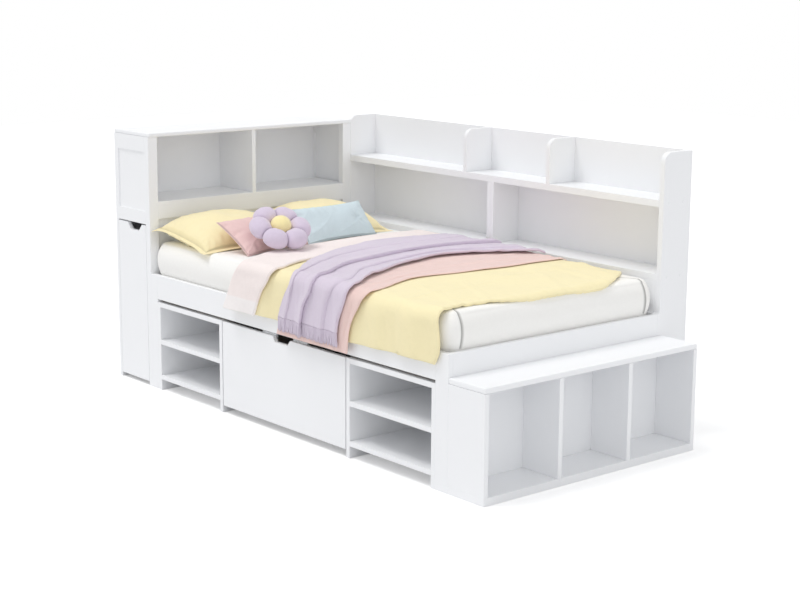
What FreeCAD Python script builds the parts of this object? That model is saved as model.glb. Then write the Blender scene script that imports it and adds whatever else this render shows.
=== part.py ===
"""Twin bookcase-headboard bed with a side bookcase, a foot bench, under-bed storage and its bedding.

Millimetres, +Z up, +X from the head to the foot, -Y the open side with the drawer, +Y the wall side.
The origin is on the floor under the middle of the whole part's box.
"""
import FreeCAD, Part
import math
import os
import re
import Sketcher

os.makedirs("parts", exist_ok=True)
doc = FreeCAD.newDocument("bookcase_bed")
X_AXIS = FreeCAD.Vector(1, 0, 0)
Y_AXIS = FreeCAD.Vector(0, 1, 0)
Z_AXIS = FreeCAD.Vector(0, 0, 1)
TOUCH = 1e-6  # two measures this near are the same

# ---------------------------------------------------------------- driving sizes

SIZES = (
    # frame of the bed
    ("board", 20, "thickness of the shelf and panel boards"),
    ("edge_round", 1.2, "eased edge of every painted board"),
    ("bed_width", 1112, "outer width of the bed, headboard and bench"),
    ("bed_length", 1960, "headboard face to the foot board's outer face"),
    ("rail_top", 511, "top of the side rails above the floor"),
    ("rail_height", 106, "height of the side rails and the foot board"),
    ("head_leg_width", 50, "width of the two corner posts at the head"),
    ("foot_leg_width", 70, "width of the two corner posts at the foot"),
    ("bearer_height", 20, "height of the ledgers under the slats"),
    ("bearer_rise", 10, "distance of the ledgers above the rails' lower edge"),
    ("bearer_width", 25, "width of the ledgers under the slats"),
    ("beam_width", 40, "width of the centre beam and its legs"),
    ("beam_height", 40, "height of the centre beam"),
    ("beam_leg_count", 3, "legs under the centre beam"),
    ("slat_count", 13, "slats under the mattress"),
    ("slat_width", 70, "width of one slat"),
    ("slat_thick", 15, "thickness of one slat"),
    ("slat_end_gap", 1, "gap between a slat's end and the corner plates"),
    ("plate_thick", 3, "thickness of the steel corner plates"),
    ("plate_length", 80, "length of the steel corner plates"),
    ("plate_height", 60, "height of the steel corner plates"),
    ("plate_hole", 2.6, "radius of the screw holes in the corner plates"),
    ("plate_drop", 12, "distance of the corner plates below the rails' upper edge"),
    # bookcase headboard
    ("head_depth", 283, "depth of the headboard"),
    ("head_height", 1124, "top of the headboard above the floor"),
    ("head_top_thick", 17, "thickness of the headboard's top"),
    ("head_top_overhang", 10, "how far the top stands proud of the posts"),
    ("head_post_width", 45, "width of a headboard post, seen from the foot"),
    ("head_post_depth", 33, "depth of a headboard post, seen from the side"),
    ("cubby_floor_top", 824, "height of the cubby floor"),
    ("cubby_floor_thick", 15, "thickness of the cubby floor"),
    ("face_rail_height", 62, "height of the rail under the cubbies"),
    ("face_panel_thick", 12, "thickness of the panel under that rail"),
    ("face_panel_setback", 13, "how far that panel sits behind the posts"),
    ("side_rail_low", 724, "lower edge of the headboard's near side panel"),
    ("recess_low", 781, "lower edge of the sunk field in the side panels"),
    ("recess_top", 1041, "upper edge of the sunk field in the side panels"),
    ("recess_stile", 10, "width of the rear stile beside the sunk field"),
    ("recess_depth", 5, "how deep the field is sunk on each face"),
    # pull-out rack inside the headboard
    ("pullout_clear", 2, "running gap on each side of the pull-out rack"),
    ("pullout_low", 19, "lower edge of the pull-out front"),
    ("pullout_top", 718, "upper edge of the pull-out front"),
    ("pullout_length", 500, "depth of the pull-out rack"),
    ("pullout_board", 14, "board thickness of the pull-out rack"),
    ("pullout_tier", 205, "height from one pull-out shelf to the next"),
    ("pullout_wall_top", 640, "top of the pull-out rack's back and side"),
    ("pullout_notch_centre", 156, "centre of the pull-out's finger notch from the rear face"),
    ("pullout_notch_mouth", 118, "width of that notch at the top"),
    ("pullout_notch_base", 68, "width of that notch at the bottom"),
    ("pullout_notch_depth", 29, "depth of that notch"),
    # under-bed shelf units
    ("unit_height", 392, "height of the under-bed units"),
    ("unit_depth", 400, "depth of the under-bed units"),
    ("head_unit_width", 496, "width of the unit near the head"),
    ("foot_unit_width", 510, "width of the unit near the foot"),
    ("unit_shelf_low", 48, "underside of the units' bottom shelf"),
    ("unit_shelf_mid", 206, "underside of the units' middle shelf"),
    ("unit_back_thick", 6, "thickness of the units' backs"),
    # drawer
    ("drawer_gap", 6, "gap between the drawer front and the units"),
    ("drawer_low", 31, "lower edge of the drawer front"),
    ("drawer_top", 391, "upper edge of the drawer front"),
    ("front_thick", 18, "thickness of the drawer and pull-out fronts"),
    ("drawer_board", 15, "thickness of the drawer's sides and back"),
    ("drawer_base_thick", 9, "thickness of the drawer's base"),
    ("drawer_beam_gap", 38, "gap between the drawer's back and the centre beam's legs"),
    ("drawer_side_gap", 4, "running gap between the drawer's sides and the units"),
    ("drawer_side_top", 335, "top of the drawer's sides"),
    ("drawer_notch_mouth", 116, "width of the drawer's finger notch at the top"),
    ("drawer_notch_base", 84, "width of that notch at the bottom"),
    ("drawer_notch_depth", 22, "depth of that notch"),
    ("cleat_length", 300, "length of the stiffening cleat behind the drawer's notch"),
    ("cleat_thick", 12, "thickness of that cleat"),
    ("cleat_height", 30, "height of that cleat"),
    ("cleat_rise", 6, "how far that cleat stands above the drawer front"),
    # floor wheels under the drawer and the pull-out rack
    ("wheel_radius", 21, "radius of the floor wheels"),
    ("wheel_width", 16, "width of the floor wheels"),
    ("axle_radius", 3, "radius of the wheel axles"),
    ("axle_fit", 0.05, "radial running clearance of a wheel on its axle"),
    ("wheel_side_gap", 0.5, "gap between a wheel and each cheek of its bracket"),
    ("cheek_thick", 3, "thickness of the bracket's cheeks"),
    ("cheek_width", 24, "width of the bracket's cheeks"),
    ("cheek_drop", 26, "how far the cheeks hang under their plate"),
    ("cheek_bite", 3, "how far the cheeks reach up into their plate"),
    ("bracket_plate", 4, "thickness of the bracket's plate"),
    ("bracket_length", 52, "length of the bracket's plate"),
    ("wheel_top_gap", 5, "gap between a wheel and its bracket's plate"),
    ("wheel_inset", 60, "distance of the wheels from the ends of the drawer and rack"),
    ("wheel_side_inset", 34, "distance of the wheels from the sides of the drawer and rack"),
    # foot bench
    ("bench_depth", 190, "depth of the foot bench"),
    ("bench_top_height", 426, "height of the bench's top face"),
    ("bench_top_thick", 22, "thickness of the bench's top"),
    ("bench_base_thick", 30, "height of the bench's base board"),
    ("bench_back_thick", 6, "thickness of the bench's back"),
    ("bench_nose_round", 5, "rounding of the bench top's and headboard top's edges"),
    # side bookcase
    ("case_depth", 150, "depth of the side bookcase's shelves"),
    ("case_back_thick", 10, "thickness of its back panel"),
    ("case_height", 1142, "height of the side bookcase"),
    ("case_end_thick", 24, "thickness of its two end panels"),
    ("case_end_setback", 7, "how far the foot end stays inside the foot board's face"),
    ("case_head_step", 1, "how far the head end's inner face lies in front of the headboard's face"),
    ("case_corner", 40, "rounding of the front top corner of its upright boards"),
    ("upper_shelf_top", 956, "height of its upper shelf"),
    ("upper_shelf_thick", 28, "thickness of its upper shelf"),
    ("lower_shelf_top", 664, "height of its lower shelves"),
    ("lower_shelf_thick", 26, "thickness of its lower and bottom shelves"),
    ("skirt_height", 140, "height of the boards under its lower shelves, beside the mattress"),
    ("bottom_shelf_top", 86, "height of its bottom shelves"),
    ("case_centre", 1256, "centre line of the bookcase's double upright from the rear face"),
    ("first_divider", 1080, "head side of the first upper divider from the rear face"),
    ("second_divider", 1590, "head side of the second upper divider from the rear face"),
    ("cap_radius", 6, "radius of the screw caps"),
    ("cap_thick", 1.2, "thickness of the screw caps"),
    ("cap_inset", 35, "distance of the screw caps from the bookcase's front and back"),
    # mattress and bedding
    ("soft_gap", 0.4, "gap between a soft piece and what carries it"),
    ("mattress_height", 200, "height of the mattress"),
    ("mattress_side_gap", 3, "gap between the mattress and the corner plates"),
    ("mattress_end_gap", 5, "gap between the mattress and the headboard"),
    ("mattress_foot_gap", 7, "gap between the mattress and the foot board"),
    ("mattress_corner", 48, "rounding of the mattress's upright corners"),
    ("mattress_swell", 11, "how far the mattress swells out above the rails"),
    ("mattress_shoulder", 32, "inset of the mattress's flat top from its sides"),
    ("mattress_under", 10, "inset of the mattress's underside from its sides"),
    ("mattress_under_rise", 8, "height over which the sides round into the underside"),
    ("pillow_depth", 415, "size of a pillow from the headboard to the foot"),
    ("pillow_crown", 78, "height of a pillow's crown above its seam"),
    ("pillow_belly", 8, "depth of a pillow's underside below its seam"),
    ("pillow_pull", 14, "how far a pillow's sides draw in between its corners"),
    ("pillow_lean", 9, "slope of the pillows towards the headboard, degrees"),
    ("pillow_inset", 4, "distance of the pillows from the headboard"),
    ("pillow_side_inset", 6, "distance of the near pillow from the bed's near side"),
    ("pillow_far_inset", 76, "distance of the far pillow from the bed's far side"),
    ("pillow_gap", 6, "gap between the two pillows"),
    ("cushion_crown", 36, "height of a small cushion's crown above its seam"),
    ("cushion_belly", 14, "depth of a small cushion's back below its seam"),
    ("cushion_pull", 9, "how far the small cushions' sides draw in"),
    ("pink_length", 400, "length of the pink cushion"),
    ("pink_height", 217, "height of the pink cushion"),
    ("pink_lean", 35, "lean of the pink cushion, degrees"),
    ("pink_turn", 13, "turn of the pink cushion about the upright, degrees"),
    ("pink_y", 298, "middle of the pink cushion from the near side"),
    ("blue_length", 400, "length of the blue cushion"),
    ("blue_height", 185, "height of the blue cushion"),
    ("blue_lean", 50, "lean of the blue cushion, degrees"),
    ("blue_turn", 6, "turn of the blue cushion about the upright, degrees"),
    ("blue_y", 708, "middle of the blue cushion from the near side"),
    ("petal_count", 6, "petals of the flower cushion"),
    ("petal_radius", 46, "radius of one petal"),
    ("petal_ring", 88, "distance of a petal's middle from the flower's middle"),
    ("bud_radius", 44, "radius of the flower's middle"),
    ("bud_rise", 12, "how far the flower's middle stands proud"),
    ("flower_step", 589, "middle of the flower cushion in front of the headboard"),
    ("flower_y", 272, "middle of the flower cushion from the near side"),
    ("flower_lean", 28, "lean of the flower cushion, degrees"),
    ("flower_turn", -8, "turn of the flower cushion about the upright, degrees"),
    ("duvet_thick", 13, "thickness of the duvet"),
    ("duvet_hang_gap", 2, "gap between the hanging duvet and the side rail"),
    ("duvet_flute", 8, "depth of the duvet's hanging folds"),
    ("duvet_flute_count", 7, "number of the duvet's hanging folds"),
    ("duvet_corner", 40, "rounding where the duvet turns down over the side"),
    ("duvet_hem", 461, "height of the duvet's hanging edge"),
    ("duvet_hem_wave", 4, "how far that edge rises and falls"),
    ("duvet_reach", 700, "bare mattress between the headboard and the duvet on the near side"),
    ("duvet_slant", 160, "how much nearer the head that edge lies on the far side"),
    ("duvet_foot_gap", 50, "distance of the duvet's foot edge from the foot board's face"),
    ("duvet_far_gap", 30, "distance of the bedding's far edge from the side bookcase"),
    ("turnback_width", 255, "width of the duvet's turned-back part"),
    ("turnback_thick", 11, "thickness of the turned-back part"),
    ("turnback_step", 6, "how far its folded edge lies in front of the duvet's"),
    ("throw_thick", 4, "thickness of the throws"),
    ("throw_fold", 7, "height of the throws' folds"),
    ("throw_fold_count", 4, "number of folds along the lavender throw"),
    ("pink_throw_hem", 416, "height of the pink throw's hanging edge"),
    ("lavender_throw_hem", 428, "height of the lavender throw's hanging edge"),
)

# places worked out from the sizes; the frame of these is the bed's rear near floor corner
PLACES = {
    "foot_face": "head_depth + bed_length",
    "bench_face": "foot_face + bench_depth",
    "case_rear": "bed_width + case_depth + case_back_thick",
    "case_back_face": "bed_width + case_depth",
    "case_foot": "foot_face - case_end_setback",
    "case_head": "head_depth - case_end_thick + case_head_step",
    "rail_low": "rail_top - rail_height",
    "drawer_length": "bed_width / 2 - beam_width / 2 - drawer_beam_gap - front_thick",
    "head_unit_start": "head_depth + head_leg_width",
    "foot_unit_end": "foot_face - foot_leg_width",
    "head_unit_end": "head_unit_start + head_unit_width",
    "foot_unit_start": "foot_unit_end - foot_unit_width",
    "slat_low": "rail_low + bearer_rise + bearer_height",
    "slat_top": "slat_low + slat_thick",
    "foot_inner": "foot_face - board",
    "mattress_low": "slat_top + soft_gap",
    "mattress_top": "mattress_low + mattress_height",
    "duvet_low": "mattress_top + soft_gap",
    "duvet_top": "duvet_low + duvet_thick",
    "duvet_out": "duvet_hang_gap + duvet_thick + duvet_flute",
    "duvet_head": "head_depth + duvet_reach",
    "duvet_foot": "foot_face - duvet_foot_gap",
    "pillow_width": "(bed_width - pillow_side_inset - pillow_far_inset - pillow_gap) / 2",
    "bedding_far": "bed_width - duvet_far_gap",
    "layer": "throw_thick + throw_fold",
    "pink_out": "duvet_out + soft_gap",
    "pink_low": "duvet_top + soft_gap",
    "lavender_out": "pink_out + throw_thick + throw_fold / 2 + soft_gap",
    "turnback_top": "duvet_top + soft_gap + turnback_thick",
    "lavender_low": "turnback_top + soft_gap",
    "cloth_proud": "lavender_out + layer",
    "origin_x": "bench_face / 2",
    "origin_y": "(case_rear - cloth_proud) / 2",
}

sheet = doc.addObject("Spreadsheet::Sheet", "Sizes")
for row, (alias, size, note) in enumerate(SIZES, start=1):
    sheet.set(f"A{row}", alias)
    sheet.set(f"B{row}", str(size))
    sheet.set(f"C{row}", note)
    sheet.setAlias(f"B{row}", alias)
doc.recompute()


def bind(text):
    """Writes the names of sizes and places in an expression as the spreadsheet's own names."""
    def full_name(match):
        word = match.group(0)
        return "(" + bind(PLACES[word]) + ")" if word in PLACES else "Sizes." + word
    return re.sub(r"[a-z]\w*", full_name, text)


def value(text):
    """The present value of an expression of sizes and places, as a plain number."""
    result = sheet.evalExpression(bind(text))
    return float(getattr(result, "Value", result))


# ---------------------------------------------------------------- shared makers

def place(item, low):
    """Binds an object's place to three expressions, measured from the bed's rear near floor corner."""
    x_text, y_text, z_text = low
    item.setExpression("Placement.Base.x", bind(f"{x_text} - origin_x"))
    item.setExpression("Placement.Base.y", bind(f"{y_text} - origin_y"))
    item.setExpression("Placement.Base.z", bind(z_text))
    return item


def plane_of(body, role):
    """One of the body's own origin planes, by its role."""
    return next(item for item in body.Origin.OriginFeatures if item.Role == role)


def ease(body, feature, radius="edge_round", wanted=None):
    """Rounds all edges of a body's last feature, or those that the test picks."""
    doc.recompute()
    rounding = body.newObject("PartDesign::Fillet", body.Name + "_ease")
    if wanted is None:
        rounding.Base = (feature, ["Face1"])
        rounding.UseAllEdges = True
    else:
        names = [f"Edge{n}" for n, edge in enumerate(feature.Shape.Edges, start=1) if wanted(edge)]
        rounding.Base = (feature, names)
    rounding.setExpression("Radius", bind(radius))
    body.Tip = rounding
    return rounding


def board(label, low, size, radius="edge_round"):
    """A straight board with eased edges, from its low corner and its three sizes."""
    body = doc.addObject("PartDesign::Body", label)
    blank = body.newObject("PartDesign::AdditiveBox", label + "_blank")
    for side, text in zip(("Length", "Width", "Height"), size):
        blank.setExpression(side, bind(text))
    ease(body, blank, radius)
    return place(body, low)


def outline(body, role, corners):
    """A closed sketch of straight lines through corners given as pairs of expressions."""
    sketch = body.newObject("Sketcher::SketchObject", body.Name + "_outline")
    sketch.AttachmentSupport = [(plane_of(body, role), "")]
    sketch.MapMode = "FlatFace"
    points = [FreeCAD.Vector(value(u), value(v), 0) for u, v in corners]
    count = len(points)
    for index in range(count):
        sketch.addGeometry(Part.LineSegment(points[index], points[(index + 1) % count]), False)
    for index in range(count):
        sketch.addConstraint(Sketcher.Constraint("Coincident", index, 2, (index + 1) % count, 1))
    for index, pair in enumerate(corners):
        for kind, axis, text in (("DistanceX", -2, pair[0]), ("DistanceY", -1, pair[1])):
            if text == "0":
                sketch.addConstraint(Sketcher.Constraint("PointOnObject", index, 1, axis))
                continue
            number = sketch.addConstraint(Sketcher.Constraint(kind, -1, 1, index, 1, value(text)))
            name = f"{kind}_{index}"
            sketch.renameConstraint(number, name)
            sketch.setExpression("Constraints." + name, bind(text))
    return sketch


def pad(body, sketch, thickness, backwards=False):
    """A straight pad of a sketch."""
    feature = body.newObject("PartDesign::Pad", body.Name + "_pad")
    feature.Profile = sketch
    feature.setExpression("Length", bind(thickness))
    feature.Reversed = backwards
    body.Tip = feature
    return feature


def panel(label, role, corners, thickness, low, radius="edge_round"):
    """A board sawn to an outline in its own plane: XY, XZ or YZ. Its thickness grows along +Z, +Y or +X."""
    body = doc.addObject("PartDesign::Body", label)
    feature = pad(body, outline(body, role, corners), thickness, backwards=role == "XZ_Plane")
    if radius:
        ease(body, feature, radius)
    return place(body, low)


def group(label, members):
    """Separate solids of one kind that share a node."""
    compound = doc.addObject("Part::Compound", label)
    compound.Links = members
    return compound


NODES = []


def node(item):
    """Lists an object as a sub-part of its own."""
    NODES.append(item)
    return item


# ---------------------------------------------------------------- bookcase headboard

def make_headboard():
    """Back, posts, routed side panels, top, cubby floor and divider, and the face below the cubbies."""
    under_top = "head_height - head_top_thick"
    between = "bed_width - 2 * head_post_width"
    node(board("headboard_back_panel", ("0", "0", "0"), ("board", "bed_width", under_top)))
    posts = [
        board(f"headboard_post_{side}", ("head_depth - head_post_depth", y_text, "0"),
              ("head_post_depth", "head_post_width", under_top))
        for side, y_text in (("near", "0"), ("far", "bed_width - head_post_width"))
    ]
    node(group("headboard_posts", posts))
    node(board("headboard_top", ("0", "0", under_top),
               ("head_depth + head_top_overhang", "bed_width", "head_top_thick"), "bench_nose_round"))
    for side, y_text, low_text in (("near", "0", "side_rail_low"), ("far", "bed_width - board", "0")):
        node(make_headboard_side(f"headboard_{side}_side", y_text, low_text, under_top))
    corners = (
        ("0", "0"), ("head_depth - head_post_depth - board", "0"),
        ("head_depth - head_post_depth - board", "head_post_width - board"),
        ("head_depth - board", "head_post_width - board"),
        ("head_depth - board", f"{between} + head_post_width - board"),
        ("head_depth - head_post_depth - board", f"{between} + head_post_width - board"),
        ("head_depth - head_post_depth - board", "bed_width - 2 * board"),
        ("0", "bed_width - 2 * board"),
    )
    node(panel("headboard_cubby_floor", "XY_Plane", corners, "cubby_floor_thick",
               ("board", "board", "cubby_floor_top - cubby_floor_thick")))
    node(board("headboard_divider", ("board", "(bed_width - board) / 2", "cubby_floor_top"),
               ("head_depth - board", "board", f"{under_top} - cubby_floor_top")))
    rail_top_text = "cubby_floor_top - cubby_floor_thick"
    node(board("headboard_face_rail",
               ("head_depth - board", "head_post_width", f"{rail_top_text} - face_rail_height"),
               ("board", between, "face_rail_height")))
    node(board("headboard_face_panel",
               ("head_depth - face_panel_setback - face_panel_thick", "head_post_width", "pullout_low"),
               ("face_panel_thick", between, f"{rail_top_text} - face_rail_height - pullout_low")))


def make_headboard_side(label, y_text, low_text, top_text):
    """A side panel between the back and the front post, with a field sunk into both faces."""
    body = doc.addObject("PartDesign::Body", label)
    width = "head_depth - head_post_depth - board"
    blank = body.newObject("PartDesign::AdditiveBox", label + "_blank")
    for side, text in zip(("Length", "Width", "Height"), (width, "board", f"{top_text} - ({low_text})")):
        blank.setExpression(side, bind(text))
    body.Tip = blank
    for face, depth_text in (("outer", "0"), ("inner", "board - recess_depth")):
        field = body.newObject("PartDesign::SubtractiveBox", f"{label}_{face}_field")
        field.setExpression("Length", bind(f"{width} - recess_stile + board"))
        field.setExpression("Width", bind("recess_depth"))
        field.setExpression("Height", bind("recess_top - recess_low"))
        field.setExpression("Placement.Base.x", bind("recess_stile"))
        field.setExpression("Placement.Base.y", bind(depth_text))
        field.setExpression("Placement.Base.z", bind(f"recess_low - ({low_text})"))
        body.Tip = field
    return place(body, ("board", y_text, low_text))


# ---------------------------------------------------------------- fronts with a finger notch

def notched_front(label, low, width, height, centre, mouth, base, depth):
    """A front board with a finger notch, wider at its mouth, sawn into its top edge."""
    corners = (
        ("0", "0"), (width, "0"), (width, height),
        (f"{centre} + {mouth} / 2", height),
        (f"{centre} + {base} / 2", f"{height} - {depth}"),
        (f"{centre} - {base} / 2", f"{height} - {depth}"),
        (f"{centre} - {mouth} / 2", height),
        ("0", height),
    )
    return panel(label, "XZ_Plane", corners, "front_thick", low)


# ---------------------------------------------------------------- floor wheels

def make_wheel(label, x_text, y_text):
    """A solid wheel with a plain bore, turned about a line along X."""
    body = doc.addObject("PartDesign::Body", label)
    sketch = body.newObject("Sketcher::SketchObject", label + "_rings")
    sketch.AttachmentSupport = [(plane_of(body, "YZ_Plane"), "")]
    sketch.MapMode = "FlatFace"
    for index, text in enumerate(("wheel_radius", "axle_radius + axle_fit")):
        ring = Part.Circle(FreeCAD.Vector(0, 0, 0), Z_AXIS, value(text))
        sketch.addGeometry(ring, False)
        sketch.addConstraint(Sketcher.Constraint("Coincident", index, 3, -1, 1))
        number = sketch.addConstraint(Sketcher.Constraint("Radius", index, value(text)))
        sketch.renameConstraint(number, f"ring_{index}")
        sketch.setExpression(f"Constraints.ring_{index}", bind(text))
    feature = pad(body, sketch, "wheel_width")
    ease(body, feature, "edge_round",
         lambda edge: abs(getattr(edge.Curve, "Radius", 0) - value("wheel_radius")) < TOUCH)
    return place(body, (f"{x_text} - wheel_width / 2", y_text, "wheel_radius"))


def make_bracket(label, x_text, y_text):
    """A moulded wheel bracket: plate, two cheeks and the axle between them."""
    plate_low = "2 * wheel_radius + wheel_top_gap"
    outer = "wheel_width + 2 * wheel_side_gap + 2 * cheek_thick"
    pieces = []
    plate = doc.addObject("Part::Box", label + "_plate")
    for side, text in zip(("Length", "Width", "Height"), (outer, "bracket_length", "bracket_plate")):
        plate.setExpression(side, bind(text))
    place(plate, (f"{x_text} - ({outer}) / 2", f"{y_text} - bracket_length / 2", plate_low))
    pieces.append(plate)
    for name, shift in (("head", f"-({outer}) / 2"), ("foot", f"({outer}) / 2 - cheek_thick")):
        cheek = doc.addObject("Part::Box", f"{label}_cheek_{name}")
        cheek_sizes = ("cheek_thick", "cheek_width", "cheek_drop + cheek_bite")
        for side, text in zip(("Length", "Width", "Height"), cheek_sizes):
            cheek.setExpression(side, bind(text))
        place(cheek, (f"{x_text} + {shift}", f"{y_text} - cheek_width / 2", f"{plate_low} - cheek_drop"))
        pieces.append(cheek)
    axle = doc.addObject("Part::Cylinder", label + "_axle")
    axle.setExpression("Radius", bind("axle_radius"))
    axle.setExpression("Height", bind(outer))
    place(axle, (f"{x_text} - ({outer}) / 2", y_text, "wheel_radius"))
    axle.Placement = FreeCAD.Placement(axle.Placement.Base, FreeCAD.Rotation(Y_AXIS, 90))
    pieces.append(axle)
    bracket = doc.addObject("Part::MultiFuse", label)
    bracket.Shapes = pieces
    bracket.Refine = True
    return bracket


def make_wheels(name, x_places, y_places):
    """Brackets in one node; the front pair and the rear pair of wheels in a node each."""
    brackets = []
    for pair, y_text in y_places:
        wheels = []
        for number, x_text in enumerate(x_places, start=1):
            brackets.append(make_bracket(f"{name}_{pair}_bracket_{number}", x_text, y_text))
            wheels.append(make_wheel(f"{name}_{pair}_wheel_{number}", x_text, y_text))
        node(group(f"{name}_{pair}_wheels", wheels))
    node(group(f"{name}_wheel_brackets", brackets))


BRACKET_TOP = "2 * wheel_radius + wheel_top_gap + bracket_plate"


def make_pullout():
    """The tall rack that pulls out of the headboard's near side on four floor wheels."""
    start = "board + pullout_clear"
    width = "head_depth - head_post_depth - board - 2 * pullout_clear"
    node(notched_front("pullout_front", (start, "0", "pullout_low"), width, "pullout_top - pullout_low",
                       f"pullout_notch_centre - ({start})", "pullout_notch_mouth",
                       "pullout_notch_base", "pullout_notch_depth"))
    node(board("pullout_side", (start, "front_thick", BRACKET_TOP),
               ("pullout_board", "pullout_length", f"pullout_wall_top - ({BRACKET_TOP})")))
    inner = f"{start} + pullout_board"
    inner_width = f"{width} - pullout_board"
    node(board("pullout_back", (inner, "front_thick + pullout_length - pullout_board", BRACKET_TOP),
               (inner_width, "pullout_board", f"pullout_wall_top - ({BRACKET_TOP})")))
    shelves = [
        board(f"pullout_shelf_{tier}", (inner, "front_thick", f"{BRACKET_TOP} + {tier} * pullout_tier"),
              (inner_width, "pullout_length - pullout_board", "pullout_board"))
        for tier in range(3)
    ]
    node(group("pullout_shelves", shelves))
    make_wheels("pullout",
                (f"{start} + wheel_side_inset", f"{start} + {width} - wheel_side_inset"),
                (("front", "front_thick + wheel_inset"),
                 ("rear", "front_thick + pullout_length - wheel_inset")))


def make_drawer():
    """The wide drawer between the two under-bed units, on four floor wheels."""
    start = "head_unit_end + drawer_gap"
    width = "foot_unit_start - head_unit_end - 2 * drawer_gap"
    front = notched_front("drawer_face", (start, "0", "drawer_low"), width, "drawer_top - drawer_low",
                          f"({width}) / 2", "drawer_notch_mouth", "drawer_notch_base",
                          "drawer_notch_depth")
    cleat_pieces = [
        board(f"drawer_cleat_{side}", (x_text, "front_thick", "drawer_top + cleat_rise - cleat_height"),
              ("(cleat_length - drawer_notch_mouth) / 2", "cleat_thick", "cleat_height"))
        for side, x_text in (
            ("head", f"{start} + ({width}) / 2 - cleat_length / 2"),
            ("foot", f"{start} + ({width}) / 2 + drawer_notch_mouth / 2"))
    ]
    node(group("drawer_front", [front] + cleat_pieces))
    side_height = f"drawer_side_top - ({BRACKET_TOP})"
    sides = [
        board(f"drawer_side_{side}", (x_text, "front_thick", BRACKET_TOP),
              ("drawer_board", "drawer_length", side_height))
        for side, x_text in (("head", f"{start} + drawer_side_gap"),
                             ("foot", f"{start} + {width} - drawer_side_gap - drawer_board"))
    ]
    node(group("drawer_sides", sides))
    inner = f"{start} + drawer_side_gap + drawer_board"
    inner_width = f"{width} - 2 * drawer_side_gap - 2 * drawer_board"
    node(board("drawer_back", (inner, "front_thick + drawer_length - drawer_board", BRACKET_TOP),
               (inner_width, "drawer_board", side_height)))
    node(board("drawer_base", (inner, "front_thick", BRACKET_TOP),
               (inner_width, "drawer_length - drawer_board", "drawer_base_thick")))
    make_wheels("drawer",
                (f"{inner} + wheel_side_inset", f"{inner} + {inner_width} - wheel_side_inset"),
                (("front", "front_thick + wheel_inset"),
                 ("rear", "front_thick + drawer_length - wheel_inset")))


# ---------------------------------------------------------------- under-bed shelf units

def make_units():
    """Two open shelf units that stand on the floor beside the drawer."""
    inner_depth = "unit_depth - unit_back_thick"
    backs = []
    for name, start, width in (("head", "head_unit_start", "head_unit_width"),
                               ("foot", "foot_unit_start", "foot_unit_width")):
        inner = f"{start} + board"
        inner_width = f"{width} - 2 * board"
        sides = [
            board(f"{name}_unit_side_{end}", (x_text, "0", "0"), ("board", "unit_depth", "unit_height"))
            for end, x_text in (("head", start), ("foot", f"{start} + {width} - board"))
        ]
        node(group(f"{name}_unit_sides", sides))
        shelves = [
            board(f"{name}_unit_{level}_shelf", (inner, "0", low_text), (inner_width, inner_depth, "board"))
            for level, low_text in (("bottom", "unit_shelf_low"), ("middle", "unit_shelf_mid"),
                                    ("top", "unit_height - board"))
        ]
        node(group(f"{name}_unit_shelves", shelves))
        backs.append(board(f"{name}_unit_back", (inner, inner_depth, "unit_shelf_low"),
                           (inner_width, "unit_back_thick", "unit_height - unit_shelf_low")))
    node(group("unit_backs", backs))


# ---------------------------------------------------------------- bed frame

def make_bed_frame():
    """Corner posts, rails, foot board, ledgers, beam, legs, slats and the corner plates."""
    posts = []
    for end, x_text, width in (("head", "head_depth", "head_leg_width"),
                               ("foot", "foot_unit_end", "foot_leg_width")):
        for side, y_text in (("near", "0"), ("far", "bed_width - board")):
            posts.append(board(f"{end}_{side}_post", (x_text, y_text, "0"), (width, "board", "rail_top")))
    node(group("corner_posts", posts))
    rail_length = "foot_unit_end - head_unit_start"
    for side, y_text in (("near", "0"), ("far", "bed_width - board")):
        node(board(f"{side}_side_rail", ("head_unit_start", y_text, "rail_low"),
                   (rail_length, "board", "rail_height")))
    inner_width = "bed_width - 2 * board"
    node(board("foot_board", ("foot_inner", "board", "rail_low"), ("board", inner_width, "rail_height")))
    ledgers = [
        board(f"ledger_{side}", ("head_depth", y_text, "slat_low - bearer_height"),
              ("bed_length - board", "bearer_width", "bearer_height"))
        for side, y_text in (("near", "board"), ("far", "bed_width - board - bearer_width"))
    ]
    node(group("slat_ledgers", ledgers))
    beam_y = "(bed_width - beam_width) / 2"
    panel_face = "head_depth - face_panel_setback"
    node(board("centre_beam", (panel_face, beam_y, "slat_low - beam_height"),
               (f"foot_inner - ({panel_face})", "beam_width", "beam_height")))
    legs = []
    for number in range(round(value("beam_leg_count"))):
        share = f"({number} + 1) / (beam_leg_count + 1)"
        legs.append(board(f"beam_leg_{number + 1}",
                          (f"head_depth + bed_length * {share} - beam_width / 2", beam_y, "0"),
                          ("beam_width", "beam_width", "slat_low - beam_height")))
    node(group("beam_legs", legs))
    slats = []
    for number in range(round(value("slat_count"))):
        share = f"({number} + 0.5) / slat_count"
        slats.append(board(f"slat_{number + 1}",
                           (f"head_depth + (bed_length - board) * {share} - slat_width / 2",
                            "board + plate_thick + slat_end_gap", "slat_low"),
                           ("slat_width", f"{inner_width} - 2 * (plate_thick + slat_end_gap)", "slat_thick")))
    node(group("slats", slats))
    plates = []
    for end, x_text in (("head", "head_unit_start"), ("foot", "foot_unit_end")):
        for side, y_text in (("near", "board"), ("far", "bed_width - board - plate_thick")):
            plates.append(make_corner_plate(f"plate_{end}_{side}", x_text, y_text))
    node(group("corner_plates", plates))


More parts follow.
